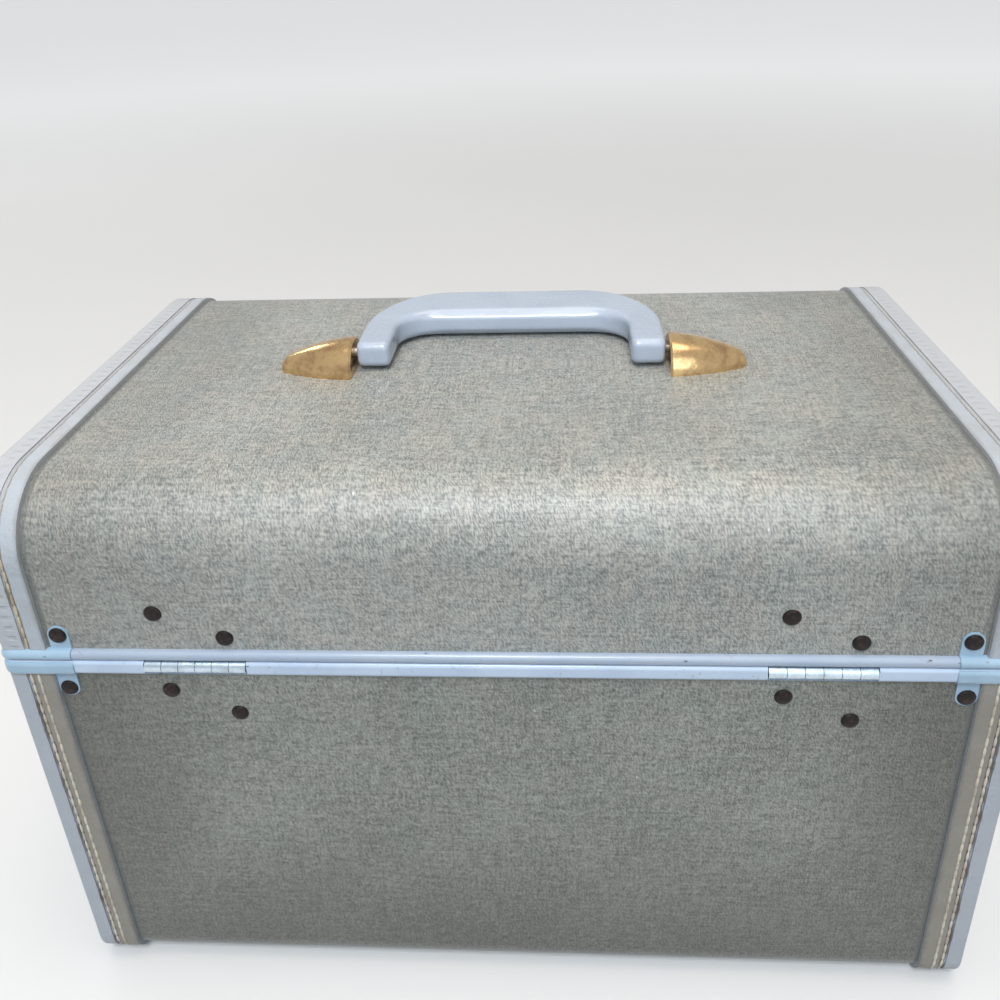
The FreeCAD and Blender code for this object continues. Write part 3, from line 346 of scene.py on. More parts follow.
def along_section(mix: Mixer, half: CaseHalf, y: Socket, z: Socket) -> Socket:
    """Distance along the wall section of one half, rising with height up the wall.

    Args:
        mix: the node tree.
        half: the half of the case.
        y: place across the case.
        z: height.

    Returns:
        The distance in millimetres.
    """
    aside = mix.sum("ABSOLUTE", mix.sum("SUBTRACT", y, half.centre_y))
    out = mix.sum("SUBTRACT", aside, half.half_depth - half.radius)
    start = half.flat - half.into * half.radius
    up = mix.sum("MULTIPLY", mix.sum("SUBTRACT", z, start), float(half.into))
    bend = mix.sum("ARCTAN2", mix.sum("MAXIMUM", up, 0.0), mix.sum("MAXIMUM", out, 0.001))
    wall = mix.sum("ADD", mix.sum("MINIMUM", up, 0.0), mix.sum("MULTIPLY", bend, half.radius))
    whole = mix.sum("SUBTRACT", wall, mix.sum("MINIMUM", out, 0.0))
    return mix.sum("MULTIPLY", whole, float(half.into))


@dataclass(frozen=True)
class TweedCloth:
    """Coated tweed: short slanted threads over a fine plain weave, with slubs and pale flecks."""

    half: CaseHalf
    pale: Colour
    middle: Colour
    dark: Colour
    thread: float = 0.62
    slant: float = 64.0
    stroke_across: float = 0.45
    stroke_along: float = 2.0
    # The next four fields set painted shade: its strength, the reach of the darker ends and the
    # height below which the cloth darkens. binding_from and binding_to mark a dark line painted for
    # shade and dirt.
    shade_strength: float = 0.45
    shaded_ends_from: float = 85.0
    shaded_ends_to: float = 152.0
    shaded_below: float = 105.0
    binding_from: float = 152.2
    binding_to: float = 154.6

    def weave(self, mix: Mixer, flat: Socket) -> tuple[Socket, Socket]:
        """Warp and weft threads with a slanted grain over them.

        Args:
            mix: the node tree.
            flat: place on the laid-out cloth.

        Returns:
            The height and the tone, both between 0 and 1.
        """
        fine, long = 1 / self.stroke_across, 1 / self.stroke_along
        warp = mix.noise(mix.turned(flat, 0.0, (fine, long, 1.0)), 1.0, 1.0, 0.4)
        weft = mix.noise(mix.turned(flat, 0.0, (long, fine, 1.0)), 1.0, 1.0, 0.4)
        grain = mix.noise(mix.turned(flat, -self.slant, (long * 1.3, fine, 1.0)), 1.0, 1.0, 0.4)
        across, along, _ = mix.split(flat)
        turns = 2 * math.pi / self.thread
        plain = mix.sum("MULTIPLY", mix.sum("SINE", mix.sum("MULTIPLY", across, turns)),
                        mix.sum("SINE", mix.sum("MULTIPLY", along, turns)))
        threads = mix.sum("MULTIPLY_ADD", warp, 0.26, mix.sum("MULTIPLY", weft, 0.22))
        threads = mix.sum("MULTIPLY_ADD", grain, 0.52, threads)
        height = mix.sum("MULTIPLY_ADD", plain, 0.05, threads)
        return height, mix.band(height, 0.34, 0.66)

    def material(self) -> bpy.types.Material:
        """The cloth of one half."""
        mix = Mixer(f"{self.half.name.value}_tweed")
        where = mix.millimetres()
        x, y, z = mix.split(where)
        section = along_section(mix, self.half, y, z)
        facing = mix.sum("ABSOLUTE", mix.split(mix.place.outputs["Normal"])[0])
        on_end = mix.sum("GREATER_THAN", facing, 0.5)
        flat = mix.blend(on_end, mix.join(x, section), mix.join(y, z))
        height, tone = self.weave(mix, flat)
        cloud = mix.noise(flat, 0.022, 2.0, 0.5)
        patch = mix.noise(mix.turned(flat, 0.0, (0.8, 1.0, 1.0)), 0.30, 3.0, 0.65)
        streak = mix.noise(mix.turned(flat, 0.0, (0.05, 1.1, 1.0)), 1.0, 2.0, 0.5)
        drop = mix.noise(mix.turned(flat, 0.0, (1.1, 0.07, 1.0)), 1.0, 2.0, 0.5)
        level = mix.sum("ADD", mix.band(tone, 0.0, 1.0, -0.32, 0.32),
                        mix.band(patch, 0.25, 0.75, 0.32, 0.68))
        level = mix.sum("ADD", level, mix.band(streak, 0.3, 0.7, -0.09, 0.09))
        level = mix.sum("ADD", level, mix.band(drop, 0.3, 0.7, -0.10, 0.10))
        level = mix.sum("ADD", level, mix.band(cloud, 0.35, 0.65, -0.06, 0.06))
        colour = mix.blend(mix.band(level, 0.0, 0.55), self.dark, self.middle)
        colour = mix.blend(mix.band(level, 0.45, 1.0), colour, self.pale)
        hue = mix.band(mix.noise(flat, 0.06, 3.0, 0.6), 0.35, 0.65)
        colour = mix.blend(0.5, colour, mix.blend(hue, (0.92, 1.0, 0.97), (1.04, 1.0, 0.92)),
                           "MULTIPLY")
        slub = mix.spots(mix.turned(flat, 0.0, (0.45, 1.2, 1.0)), 0.30, 0.16, 0.22)
        colour = mix.blend(mix.sum("MULTIPLY", slub, 0.75), colour, self.dark)
        fleck = mix.spots(mix.turned(flat, -self.slant, (0.6, 1.2, 1.0)), 0.13, 0.40, 0.10)
        colour = mix.blend(mix.sum("MULTIPLY", fleck, 0.5), colour, (0.50, 0.52, 0.53))
        # Painted shade: the cloth darkens towards the bottom and towards both ends.
        ends = mix.band(mix.sum("ABSOLUTE", x), self.shaded_ends_from, self.shaded_ends_to, 0.0, 0.90)
        ends = mix.sum("MULTIPLY", ends, mix.sum("SUBTRACT", 1.0, on_end))
        painted_shade = mix.sum("MAXIMUM", mix.band(z, self.shaded_below, 0.0), ends)
        colour = mix.blend(mix.sum("MULTIPLY", painted_shade, self.shade_strength), colour,
                           (0.40, 0.39, 0.36), "MULTIPLY")
        # Painted shade and dirt: a dark line on the cloth along the binding's inner edge.
        edge = mix.within(mix.sum("ABSOLUTE", x), self.binding_from, self.binding_to, 0.8)
        shade_and_dirt_line = mix.sum("MULTIPLY", edge, mix.band(patch, 0.3, 0.6, 0.35, 0.75))
        shade_and_dirt_line = mix.sum("MULTIPLY", shade_and_dirt_line, mix.sum("SUBTRACT", 1.0, on_end))
        colour = mix.blend(shade_and_dirt_line, colour, (0.10, 0.105, 0.10))
        normal = mix.relief(height, 0.22)
        rough = mix.sum("SUBTRACT", mix.band(tone, 0.0, 1.0, 0.62, 0.46),
                        mix.sum("MULTIPLY", fleck, 0.3))
        return mix.surface(colour, rough, normal, Metallic=mix.sum("MULTIPLY", fleck, 0.9),
                           Sheen_Weight=0.12, Sheen_Roughness=0.45, Sheen_Tint=(0.93, 0.97, 1.0),
                           Coat_Weight=0.70, Coat_Roughness=0.40, IOR=1.5)


@dataclass(frozen=True)
class BindingVinyl:
    """Grained vinyl strip: smooth outer band, a groove and an inner edge painted with shade, and a
    worn inner band.
    """

    half: CaseHalf
    outer: Colour
    inner: Colour
    # groove is the colour of the painted shade in the groove, in the dents and along the inner
    # edge.
    groove: Colour
    worn: Colour
    worn_share: float
    dent: float
    groove_width: float = 2.2
    dent_pitch: float = 4.2
    edge: float = 170.0
    inner_edge: float = 154.1

    def material(self) -> bpy.types.Material:
        """The vinyl of one half."""
        mix = Mixer(f"{self.half.name.value}_binding_vinyl")
        where = mix.millimetres()
        x, y, z = mix.split(where)
        facing = mix.sum("ABSOLUTE", mix.split(mix.place.outputs["Normal"])[0])
        on_end = mix.sum("GREATER_THAN", facing, 0.8)
        across = mix.sum("SUBTRACT", self.edge, mix.sum("ABSOLUTE", x))
        across = mix.sum("MULTIPLY", across, mix.sum("SUBTRACT", 1.0, on_end))
        wander = mix.noise(where, 0.12, 2.0)
        shifted = mix.sum("ADD", across, mix.band(wander, 0.2, 0.8, -0.5, 0.5))
        grain = mix.noise(where, 1.1, 4.0, 0.6)
        creases = mix.cells(where, 0.9)
        mottle = mix.noise(where, 0.09, 4.0, 0.6)
        groove = self.half.groove
        inside = mix.band(shifted, groove + 0.4, groove + 0.8)
        colour = mix.blend(inside, self.outer, self.inner)
        wear = mix.sum("MULTIPLY", inside, mix.band(
            mix.sum("ADD", mottle, mix.sum("MULTIPLY", grain, 0.35)), 0.75 - self.worn_share, 0.85))
        colour = mix.blend(mix.sum("MULTIPLY", wear, self.worn_share), colour, self.worn)
        # Painted shade: the stitch groove is painted dark, faintly on the lid's top and strongly
        # lower down.
        groove_shade = mix.within(shifted, groove + 0.1, groove + self.groove_width - 0.1, 0.35)
        groove_shade = mix.sum("MULTIPLY", groove_shade, mix.band(z, TOP_FROM, SIDES_BELOW, 0.22, 0.85))
        colour = mix.blend(groove_shade, colour, self.groove)
        run = mix.sum("MULTIPLY", along_section(mix, self.half, y, z),
                      2 * math.pi / self.dent_pitch)
        dents = mix.band(mix.sum("SINE", run), -0.2, 1.0)
        dents = mix.sum("MULTIPLY", dents, mix.within(across, groove - 4.4, groove - 1.6, 1.2))
        # Painted shade: the stitch dents are painted slightly dark.
        colour = mix.blend(mix.sum("MULTIPLY", dents, 0.07 * self.dent), colour, self.groove)
        # Painted shade: a dark line along the vinyl's inner edge, where it meets the cloth.
        edge_shade_line = mix.band(mix.sum("SUBTRACT", self.edge - self.inner_edge, shifted), 1.6, 0.0)
        edge_shade_line = mix.sum("MULTIPLY", edge_shade_line, mix.sum("SUBTRACT", 1.0, on_end))
        colour = mix.blend(mix.sum("MULTIPLY", edge_shade_line, 0.35), colour, self.groove)
        colour = mix.blend(mix.band(mottle, 0.3, 0.8, 0.0, 0.28), colour,
                           mix.blend(0.5, colour, (0.78, 0.78, 0.80), "MULTIPLY"))
        scuff = mix.spots(where, 0.10, 0.12, 0.14)
        colour = mix.blend(mix.sum("MULTIPLY", scuff, 0.4), colour, (0.60, 0.60, 0.60))
        fine = mix.relief(mix.sum("SUBTRACT", mix.sum("MULTIPLY_ADD", creases, 0.5, grain),
                                  mix.sum("MULTIPLY", dents, 2.0 * self.dent)), 0.10)
        normal = mix.relief(mottle, 0.6, fine)
        rough = mix.band(grain, 0.3, 0.7, 0.42, 0.56)
        return mix.surface(colour, rough, normal, Coat_Weight=0.12, Coat_Roughness=0.30, IOR=1.47)


@dataclass(frozen=True)
class StoveEnamel:
    """Pale enamel on steel, with small chips, fine scratches and faint ripples."""

    name: str
    colour: Colour
    shade: Colour
    chips: float
    gloss: float = 0.30

    def material(self) -> bpy.types.Material:
        """The enamel."""
        mix = Mixer(self.name)
        where = mix.millimetres()
        cloud = mix.noise(where, 0.06, 3.0, 0.6)
        fine = mix.noise(where, 0.8, 3.0, 0.6)
        colour = mix.blend(mix.band(cloud, 0.35, 0.7), self.colour, self.shade)
        specks = mix.spots(mix.turned(where, 0.0, (0.5, 1.0, 1.0)), 0.26, self.chips, 0.17)
        ragged = mix.sum("MULTIPLY", specks, mix.band(mix.noise(where, 1.6, 3.0), 0.42, 0.52))
        colour = mix.blend(ragged, colour, (0.035, 0.03, 0.03))
        scratch = mix.turned(where, 35.0, (0.05, 1.4, 0.6))
        lines = mix.band(mix.noise(scratch, 1.0, 1.0), 0.70, 0.74)
        colour = mix.blend(mix.sum("MULTIPLY", lines, 0.30), colour, (0.22, 0.22, 0.24))
        rough = mix.sum("ADD", mix.band(fine, 0.3, 0.7, self.gloss, self.gloss + 0.12),
                        mix.sum("MULTIPLY", ragged, 0.4))
        uneven = mix.sum("SUBTRACT", mix.sum("MULTIPLY", cloud, 1.0),
                         mix.sum("MULTIPLY", ragged, 0.25))
        normal = mix.relief(fine, 0.03, mix.relief(uneven, 0.5))
        return mix.surface(colour, rough, normal, Coat_Weight=0.35, Coat_Roughness=0.16, IOR=1.5)


@dataclass(frozen=True)
class WornMetal:
    """Metal with soft tarnish, fine rubbing and a few dark spots."""

    name: str
    bright: Colour
    dull: Colour
    rough: float
    tarnish: float
    grain: float = 0.02

    def material(self) -> bpy.types.Material:
        """The metal."""
        mix = Mixer(self.name)
        where = mix.millimetres()
        cloud = mix.noise(where, 0.16, 4.0, 0.62)
        fine = mix.noise(where, 2.4, 3.0, 0.6)
        colour = mix.blend(mix.band(cloud, 0.62 - self.tarnish, 0.80), self.bright, self.dull)
        spots = mix.spots(where, 0.5, 0.10, 0.10)
        colour = mix.blend(mix.sum("MULTIPLY", spots, 0.5), colour, (0.05, 0.035, 0.025))
        rough = mix.sum("ADD", mix.band(cloud, 0.35, 0.8, self.rough, self.rough + 0.16),
                        mix.sum("MULTIPLY", fine, 0.06))
        normal = mix.relief(fine, self.grain, mix.relief(cloud, 0.15))
        return mix.surface(colour, rough, normal, Metallic=1.0)


@dataclass(frozen=True)
class RivetLacquer:
    """Dark brown lacquer on a rivet head, rubbed in patches."""

    dark: Colour = (0.010, 0.007, 0.007)
    rubbed: Colour = (0.050, 0.026, 0.022)

    def material(self) -> bpy.types.Material:
        """The lacquer."""
        mix = Mixer("rivet_lacquer")
        where = mix.millimetres()
        cloud = mix.noise(where, 0.7, 4.0, 0.6)
        fine = mix.noise(where, 4.0, 2.0)
        colour = mix.blend(mix.band(cloud, 0.45, 0.75), self.dark, self.rubbed)
        rough = mix.band(fine, 0.3, 0.7, 0.42, 0.55)
        return mix.surface(colour, rough, mix.relief(fine, 0.04), Specular_IOR_Level=0.22, IOR=1.5)


@dataclass(frozen=True)
class MouldedPlastic:
    """Moulded plastic with a faint marbling, fine scratches and dust in its surface."""

    name: str
    colour: Colour
    cast: Colour
    gloss: float
    scratches: float = 0.4

    def material(self) -> bpy.types.Material:
        """The plastic."""
        mix = Mixer(self.name)
        where = mix.millimetres()
        cloud = mix.noise(where, 0.045, 3.0, 0.6, 0.6)
        fine = mix.noise(where, 1.5, 3.0, 0.6)
        colour = mix.blend(mix.band(cloud, 0.35, 0.7), self.colour, self.cast)
        line = mix.turned(where, 12.0, (0.06, 2.4, 1.1))
        scratch = mix.band(mix.noise(line, 1.0, 2.0), 0.66, 0.72)
        colour = mix.blend(mix.sum("MULTIPLY", scratch, 0.12 * self.scratches), colour,
                           (0.85, 0.85, 0.85))
        specks = mix.spots(where, 0.35, 0.10, 0.07)
        colour = mix.blend(mix.sum("MULTIPLY", specks, 0.5), colour, (0.90, 0.92, 0.95))
        rough = mix.sum("ADD", mix.band(fine, 0.3, 0.7, self.gloss, self.gloss + 0.08),
                        mix.sum("MULTIPLY", scratch, 0.15 * self.scratches))
        normal = mix.relief(fine, 0.012, mix.relief(cloud, 0.5))
        return mix.surface(colour, rough, normal, Coat_Weight=0.3, Coat_Roughness=0.08, IOR=1.49)


@dataclass(frozen=True)
class ShirredLining:
    """Ribbed rayon lining cloth with a soft sheen."""

    colour: Colour = (0.47, 0.55, 0.62)
    shade: Colour = (0.33, 0.40, 0.48)
    rib_pitch: float = 0.9
    yarn_pitch: float = 0.7

    def material(self) -> bpy.types.Material:
        """The lining."""
        mix = Mixer("lining_rayon")
        where = mix.millimetres()
        x, y, z = mix.split(where)
        rib = mix.sum("SINE", mix.sum("MULTIPLY", mix.sum("ADD", z, y),
                                      2 * math.pi / self.rib_pitch))
        yarn = mix.sum("SINE", mix.sum("MULTIPLY", mix.sum("SUBTRACT", x, y),
                                       2 * math.pi / self.yarn_pitch))
        height = mix.sum("MULTIPLY_ADD", mix.sum("MULTIPLY", rib, yarn), 0.5, 0.5)
        cloud = mix.noise(where, 0.02, 3.0, 0.55)
        colour = mix.blend(mix.band(cloud, 0.35, 0.7), self.colour, self.shade)
        colour = mix.blend(mix.sum("MULTIPLY", height, 0.18), colour, (0.80, 0.86, 0.92))
        return mix.surface(colour, mix.band(height, 0.0, 1.0, 0.58, 0.44),
                           mix.relief(height, 0.08), Sheen_Weight=0.35, Sheen_Roughness=0.35,
                           Sheen_Tint=(0.9, 0.95, 1.0))


@dataclass(frozen=True)
class SawnWood:
    """Wood with long grain, pores and plies on its edges."""

    name: str
    pale: Colour
    brown: Colour
    plies: float = 0.0

    def material(self) -> bpy.types.Material:
        """The wood."""
        mix = Mixer(self.name)
        where = mix.millimetres()
        x, y, z = mix.split(where)
        grain = mix.noise(mix.join(mix.sum("MULTIPLY", x, 0.05), y, z), 0.7, 4.0, 0.6, 0.4)
        pore = mix.noise(mix.join(mix.sum("MULTIPLY", x, 0.12), y, z), 2.6, 2.0)
        colour = mix.blend(mix.band(grain, 0.35, 0.68), self.pale, self.brown)
        colour = mix.blend(mix.band(pore, 0.60, 0.72, 0.0, 0.45), colour, (0.16, 0.09, 0.045))
        if self.plies:
            ply = mix.sum("SINE", mix.sum("MULTIPLY", mix.sum("ADD", y, z), self.plies))
            colour = mix.blend(mix.band(ply, 0.2, 0.6, 0.0, 0.3), colour, (0.25, 0.15, 0.08))
        return mix.surface(colour, mix.band(pore, 0.3, 0.7, 0.55, 0.70),
                           mix.relief(pore, 0.06, mix.relief(grain, 0.1)), IOR=1.45)


@dataclass(frozen=True)
class SilveredGlass:
    """Mirror glass with a faint haze and a few specks in the silver."""

    def material(self) -> bpy.types.Material:
        """The mirror."""
        mix = Mixer("silvered_glass")
        where = mix.millimetres()
        haze = mix.noise(where, 0.03, 4.0, 0.6)
        specks = mix.spots(where, 0.10, 0.15, 0.05)
        colour = mix.blend(mix.sum("MULTIPLY", specks, 0.6), (0.86, 0.89, 0.89), (0.25, 0.22, 0.20))
        return mix.surface(colour, mix.band(haze, 0.4, 0.75, 0.02, 0.09), None, Metallic=1.0)


@dataclass(frozen=True)
class WaxedThread:
    """Twisted sewing thread."""

    name: str
    pale: Colour
    soiled: Colour
    faded: Colour = (0.43, 0.44, 0.45)

    def material(self) -> bpy.types.Material:
        """The thread."""
        mix = Mixer(self.name)
        where = mix.millimetres()
        cloud = mix.noise(where, 0.12, 3.0, 0.6)
        twist = mix.noise(mix.turned(where, 40.0, (1.0, 3.0, 2.0)), 1.6, 2.0)
        colour = mix.blend(mix.band(cloud, 0.38, 0.66), self.pale, self.soiled)
        colour = mix.blend(mix.band(twist, 0.5, 0.7, 0.0, 0.4), colour, self.soiled)
        top = mix.band(mix.split(where)[2], SIDES_BELOW, TOP_FROM, 0.0, 0.85)
        colour = mix.blend(top, colour, self.faded)
        return mix.surface(colour, mix.band(twist, 0.3, 0.7, 0.6, 0.8), mix.relief(twist, 0.12),
                           Sheen_Weight=0.3)


# ---- building by hand ----
class Bench:
    """Shared moves for shaping a new piece."""

    @staticmethod
    def clear() -> None:
        """Leave nothing selected."""
        if bpy.context.object and bpy.context.object.mode != "OBJECT":
            bpy.ops.object.mode_set(mode="OBJECT")
        bpy.ops.object.select_all(action="DESELECT")

    @classmethod
    def take(cls, *pieces: Object) -> None:
        """Select some pieces, with the first one active."""
        cls.clear()
        for piece in pieces:
            piece.select_set(True)
        bpy.context.view_layer.objects.active = pieces[0]

    @classmethod
    def settle(cls, piece: Object) -> None:
        """Put a piece's place, turn and size into its mesh."""
        cls.take(piece)
        bpy.ops.object.transform_apply(location=True, rotation=True, scale=True)

    @classmethod
    def finish_modifiers(cls, piece: Object) -> None:
        """Apply every modifier of a piece."""
        cls.take(piece)
        for modifier in list(piece.modifiers):
            bpy.ops.object.modifier_apply(modifier=modifier.name)

    @classmethod
    def as_one(cls, pieces: list[Object], name: str) -> Object:
        """Join pieces under one name.

        Args:
            pieces: the pieces.
            name: name of the result.

        Returns:
            The joined piece.
        """
        cls.take(*pieces)
        if len(pieces) > 1:
            bpy.ops.object.join()
        whole = bpy.context.object
        whole.name = whole.data.name = name
        cls.clear()
        return whole

    @classmethod
    def copy(cls, piece: Object, place: Matrix) -> Object:
        """Copy a piece with a mesh of its own to a place.

        Args:
            piece: the model.
            place: its place.

        Returns:
            The copy, settled at the origin.
        """
        twin = piece.copy()
        twin.data = piece.data.copy()
        bpy.context.collection.objects.link(twin)
        twin.matrix_world = place
        cls.settle(twin)
        return twin

    @classmethod
    def select_faces(cls, piece: Object,
                     wanted: Callable[[bpy.types.MeshPolygon], bool]) -> None:
        """Select the faces of a piece that a test accepts, and enter edit mode.

        Args:
            piece: the piece.
            wanted: a test of one polygon.
        """
        cls.take(piece)
        bpy.ops.object.mode_set(mode="EDIT")
        bpy.ops.mesh.select_all(action="DESELECT")
        bpy.ops.object.mode_set(mode="OBJECT")
        for polygon in piece.data.polygons:
            polygon.select = bool(wanted(polygon))
        bpy.ops.object.mode_set(mode="EDIT")


def islands(node: Object) -> list[tuple[Vector, Vector]]:
    """Boxes round the separate solids of a node.

    Args:
        node: the frame's object.

    Returns:
        The lowest and highest corner of each, in metres.
    """
    mesh = node.data
    parent = list(range(len(mesh.vertices)))
    keys: dict[tuple[float, float, float], int] = {}

    def root(index: int) -> int:
        """Follow the links of a point to its group."""
        while parent[index] != index:
            parent[index] = parent[parent[index]]
            index = parent[index]
        return index

    for vertex in mesh.vertices:
        key = tuple(round(c, 6) for c in vertex.co)
        first = keys.setdefault(key, vertex.index)
        parent[root(vertex.index)] = root(first)
    for edge in mesh.edges:
        parent[root(edge.vertices[0])] = root(edge.vertices[1])
    groups: dict[int, list[Vector]] = {}
    for vertex in mesh.vertices:
        groups.setdefault(root(vertex.index), []).append(vertex.co)
    boxes = []
    for points in groups.values():
        low = Vector(min(p[i] for p in points) for i in range(3))
        high = Vector(max(p[i] for p in points) for i in range(3))
        boxes.append((low, high))
    return boxes


@dataclass
class RivetHeads:
    """Low domed heads over the rivets of one node."""

    node: str
    body: str
    radius: float
    height: float
    sides: int = 20
    end_reach: float = 160.0

    def model(self) -> Object:
        """One head at the origin, standing on z = 0."""
        radius, height = self.radius * MM, self.height * MM
        Bench.clear()
        bpy.ops.mesh.primitive_cylinder_add(vertices=self.sides, radius=radius, depth=height * 0.3,
                                            location=(0, 0, height * 0.15))
        head = bpy.context.object
        Bench.settle(head)
        Bench.select_faces(head, lambda p: p.normal.z > 0.9)
        for share, rise in ((0.10, 0.32), (0.20, 0.22), (0.30, 0.12), (0.25, 0.04)):
            bpy.ops.mesh.inset(thickness=radius * share * 0.9)
            bpy.ops.transform.translate(value=(0, 0, height * rise))
        bpy.ops.object.mode_set(mode="OBJECT")
        Bench.take(head)
        bpy.ops.object.shade_smooth_by_angle(angle=math.radians(50))
        return head

    def place(self, low: Vector, high: Vector) -> Matrix:
        """Seat of one head, from the box of the rivet that it stands for.

        Args:
            low: lowest corner of the rivet.
            high: highest corner.

        Returns:
            The place and turn of the head.
        """
        middle = (low + high) / 2
        centre_y = BASE.centre_y * MM
        if abs(middle.x) > self.end_reach * MM:
            out = Vector((math.copysign(1, middle.x), 0, 0))
            seat = Vector((high.x if out.x > 0 else low.x, middle.y, middle.z))
        else:
            out = Vector((0, math.copysign(1, middle.y - centre_y), 0))
            seat = Vector((middle.x, high.y if out.y > 0 else low.y, middle.z))
        seat -= out * self.height * MM
        return Matrix.Translation(seat) @ out.to_track_quat("Z", "Y").to_matrix().to_4x4()

    def build(self, finish: bpy.types.Material) -> Object:
        """Make the heads, dress them and hang them on their body.

        Args:
            finish: material of the heads.

        Returns:
            The piece.
        """
        model = self.model()
        heads = [Bench.copy(model, self.place(low, high))
                 for low, high in islands(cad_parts[self.node])]
        bpy.data.objects.remove(model)
        piece = Bench.as_one(heads, self.node + "_heads")
        piece.data.materials.clear()
        piece.data.materials.append(finish)
        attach(piece, self.body)
        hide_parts(self.node)
        return piece


@dataclass
class StitchRow:
    """One row of thread along the binding of one end."""

    half: CaseHalf
    side: Side
    across: float
    outward: float
    length: float = 4.9
    pitch: float = 4.6
    width: float = 1.15
    thickness: float = 0.7
    number: int = 1

    def path(self) -> Object:
        """Curve along the middle of the row."""
        x = self.side.value * (self.half.half_length - self.across) * MM
        points = self.half.rail(self.outward)
        curve = bpy.data.curves.new("row_path", "CURVE")
        curve.dimensions = "3D"
        curve.twist_mode = "MINIMUM"
        spline = curve.splines.new("POLY")
        spline.points.add(len(points) - 1)
        for point, (y, z) in zip(spline.points, points):
            point.co = (x, y * MM, z * MM, 1.0)
        path = bpy.data.objects.new("row_path", curve)
        bpy.context.collection.objects.link(path)
        return path

    def build(self, finish: bpy.types.Material) -> Object:
        """Make the row, dress it and hang it on its body.

        Args:
            finish: material of the thread.

        Returns:
            The piece.
        """
        path = self.path()
        Bench.clear()
        bpy.ops.mesh.primitive_uv_sphere_add(segments=8, ring_count=6, radius=0.5 * MM)
        stitch = bpy.context.object
        stitch.rotation_euler = (0, math.pi / 2, 0)
        Bench.settle(stitch)
        stitch.scale = (self.length, self.width, self.thickness)
        stitch.location = (self.pitch / 2 * MM, 0, 0)
        Bench.settle(stitch)
        bpy.ops.object.shade_smooth()
        row = stitch.modifiers.new("row", "ARRAY")
        row.fit_type = "FIT_CURVE"
        row.curve = path
        row.use_relative_offset = False
        row.use_constant_offset = True
        row.constant_offset_displace = (self.pitch * MM, 0, 0)
        follow = stitch.modifiers.new("follow", "CURVE")
        follow.object = path
        Bench.finish_modifiers(stitch)
        bpy.data.objects.remove(path)
        name = f"{self.half.name.value}_{self.side.name.lower()}_stitches_{self.number}"
        stitch.name = stitch.data.name = name
        stitch.data.materials.clear()
        stitch.data.materials.append(finish)
        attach(stitch, self.half.name.value)
        return stitch


# ---- sub-assemblies ----
@dataclass
class Coverings:
    """Cloth and binding of the two halves, with their rows of stitches."""

    groove_floor: float = 0.9
    binding_top: float = 1.5
    lid_row: float = 9.5
    base_outer_row: float = 7.7
    base_inner_row: float = 10.5

    def dress(self) -> None:
        """Give the cloth and the bindings their finishes."""
        lid_cloth = TweedCloth(LID, (0.48, 0.472, 0.445), (0.312, 0.312, 0.300),
                               (0.135, 0.153, 0.147))
        # Painted shade: the base cloth is the lid's tweed painted darker, with its painted shade at
        # the bottom and ends at full strength.
        base_cloth = TweedCloth(BASE, (0.345, 0.35, 0.32), (0.205, 0.212, 0.195),
                                (0.070, 0.078, 0.072), shade_strength=1.0)
        lid_vinyl = BindingVinyl(LID, (0.50, 0.52, 0.55), (0.47, 0.51, 0.56), (0.16, 0.14, 0.12),
                                 (0.40, 0.38, 0.33), 0.25, 1.0)
        base_vinyl = BindingVinyl(BASE, (0.44, 0.47, 0.52), (0.31, 0.30, 0.28),
                                  (0.10, 0.08, 0.065), (0.25, 0.225, 0.185), 0.7, 0.0)
        for half, cloth, vinyl in ((LID, lid_cloth, lid_vinyl), (BASE, base_cloth, base_vinyl)):
            name = half.name.value
            cover(cloth.material(), name + "_cloth")
            cover(vinyl.material(), name + "_binding_left", name + "_binding_right")

    def stitch(self) -> None:
        """Sew the rows."""
        tan = WaxedThread("tan_thread", (0.68, 0.54, 0.36), (0.38, 0.28, 0.18)).material()
        cream = WaxedThread("cream_thread", (0.74, 0.66, 0.55), (0.46, 0.39, 0.31)).material()
        for side in Side:
            report(StitchRow(LID, side, self.lid_row, self.groove_floor + 0.1).build(tan))
            report(StitchRow(BASE, side, self.base_outer_row,
                             self.groove_floor + 0.45).build(cream))
            report(StitchRow(BASE, side, self.base_inner_row, self.binding_top + 0.05,
                             number=2).build(cream))

    def build(self) -> None:
        """Dress and sew the coverings."""
        self.dress()
        self.stitch()


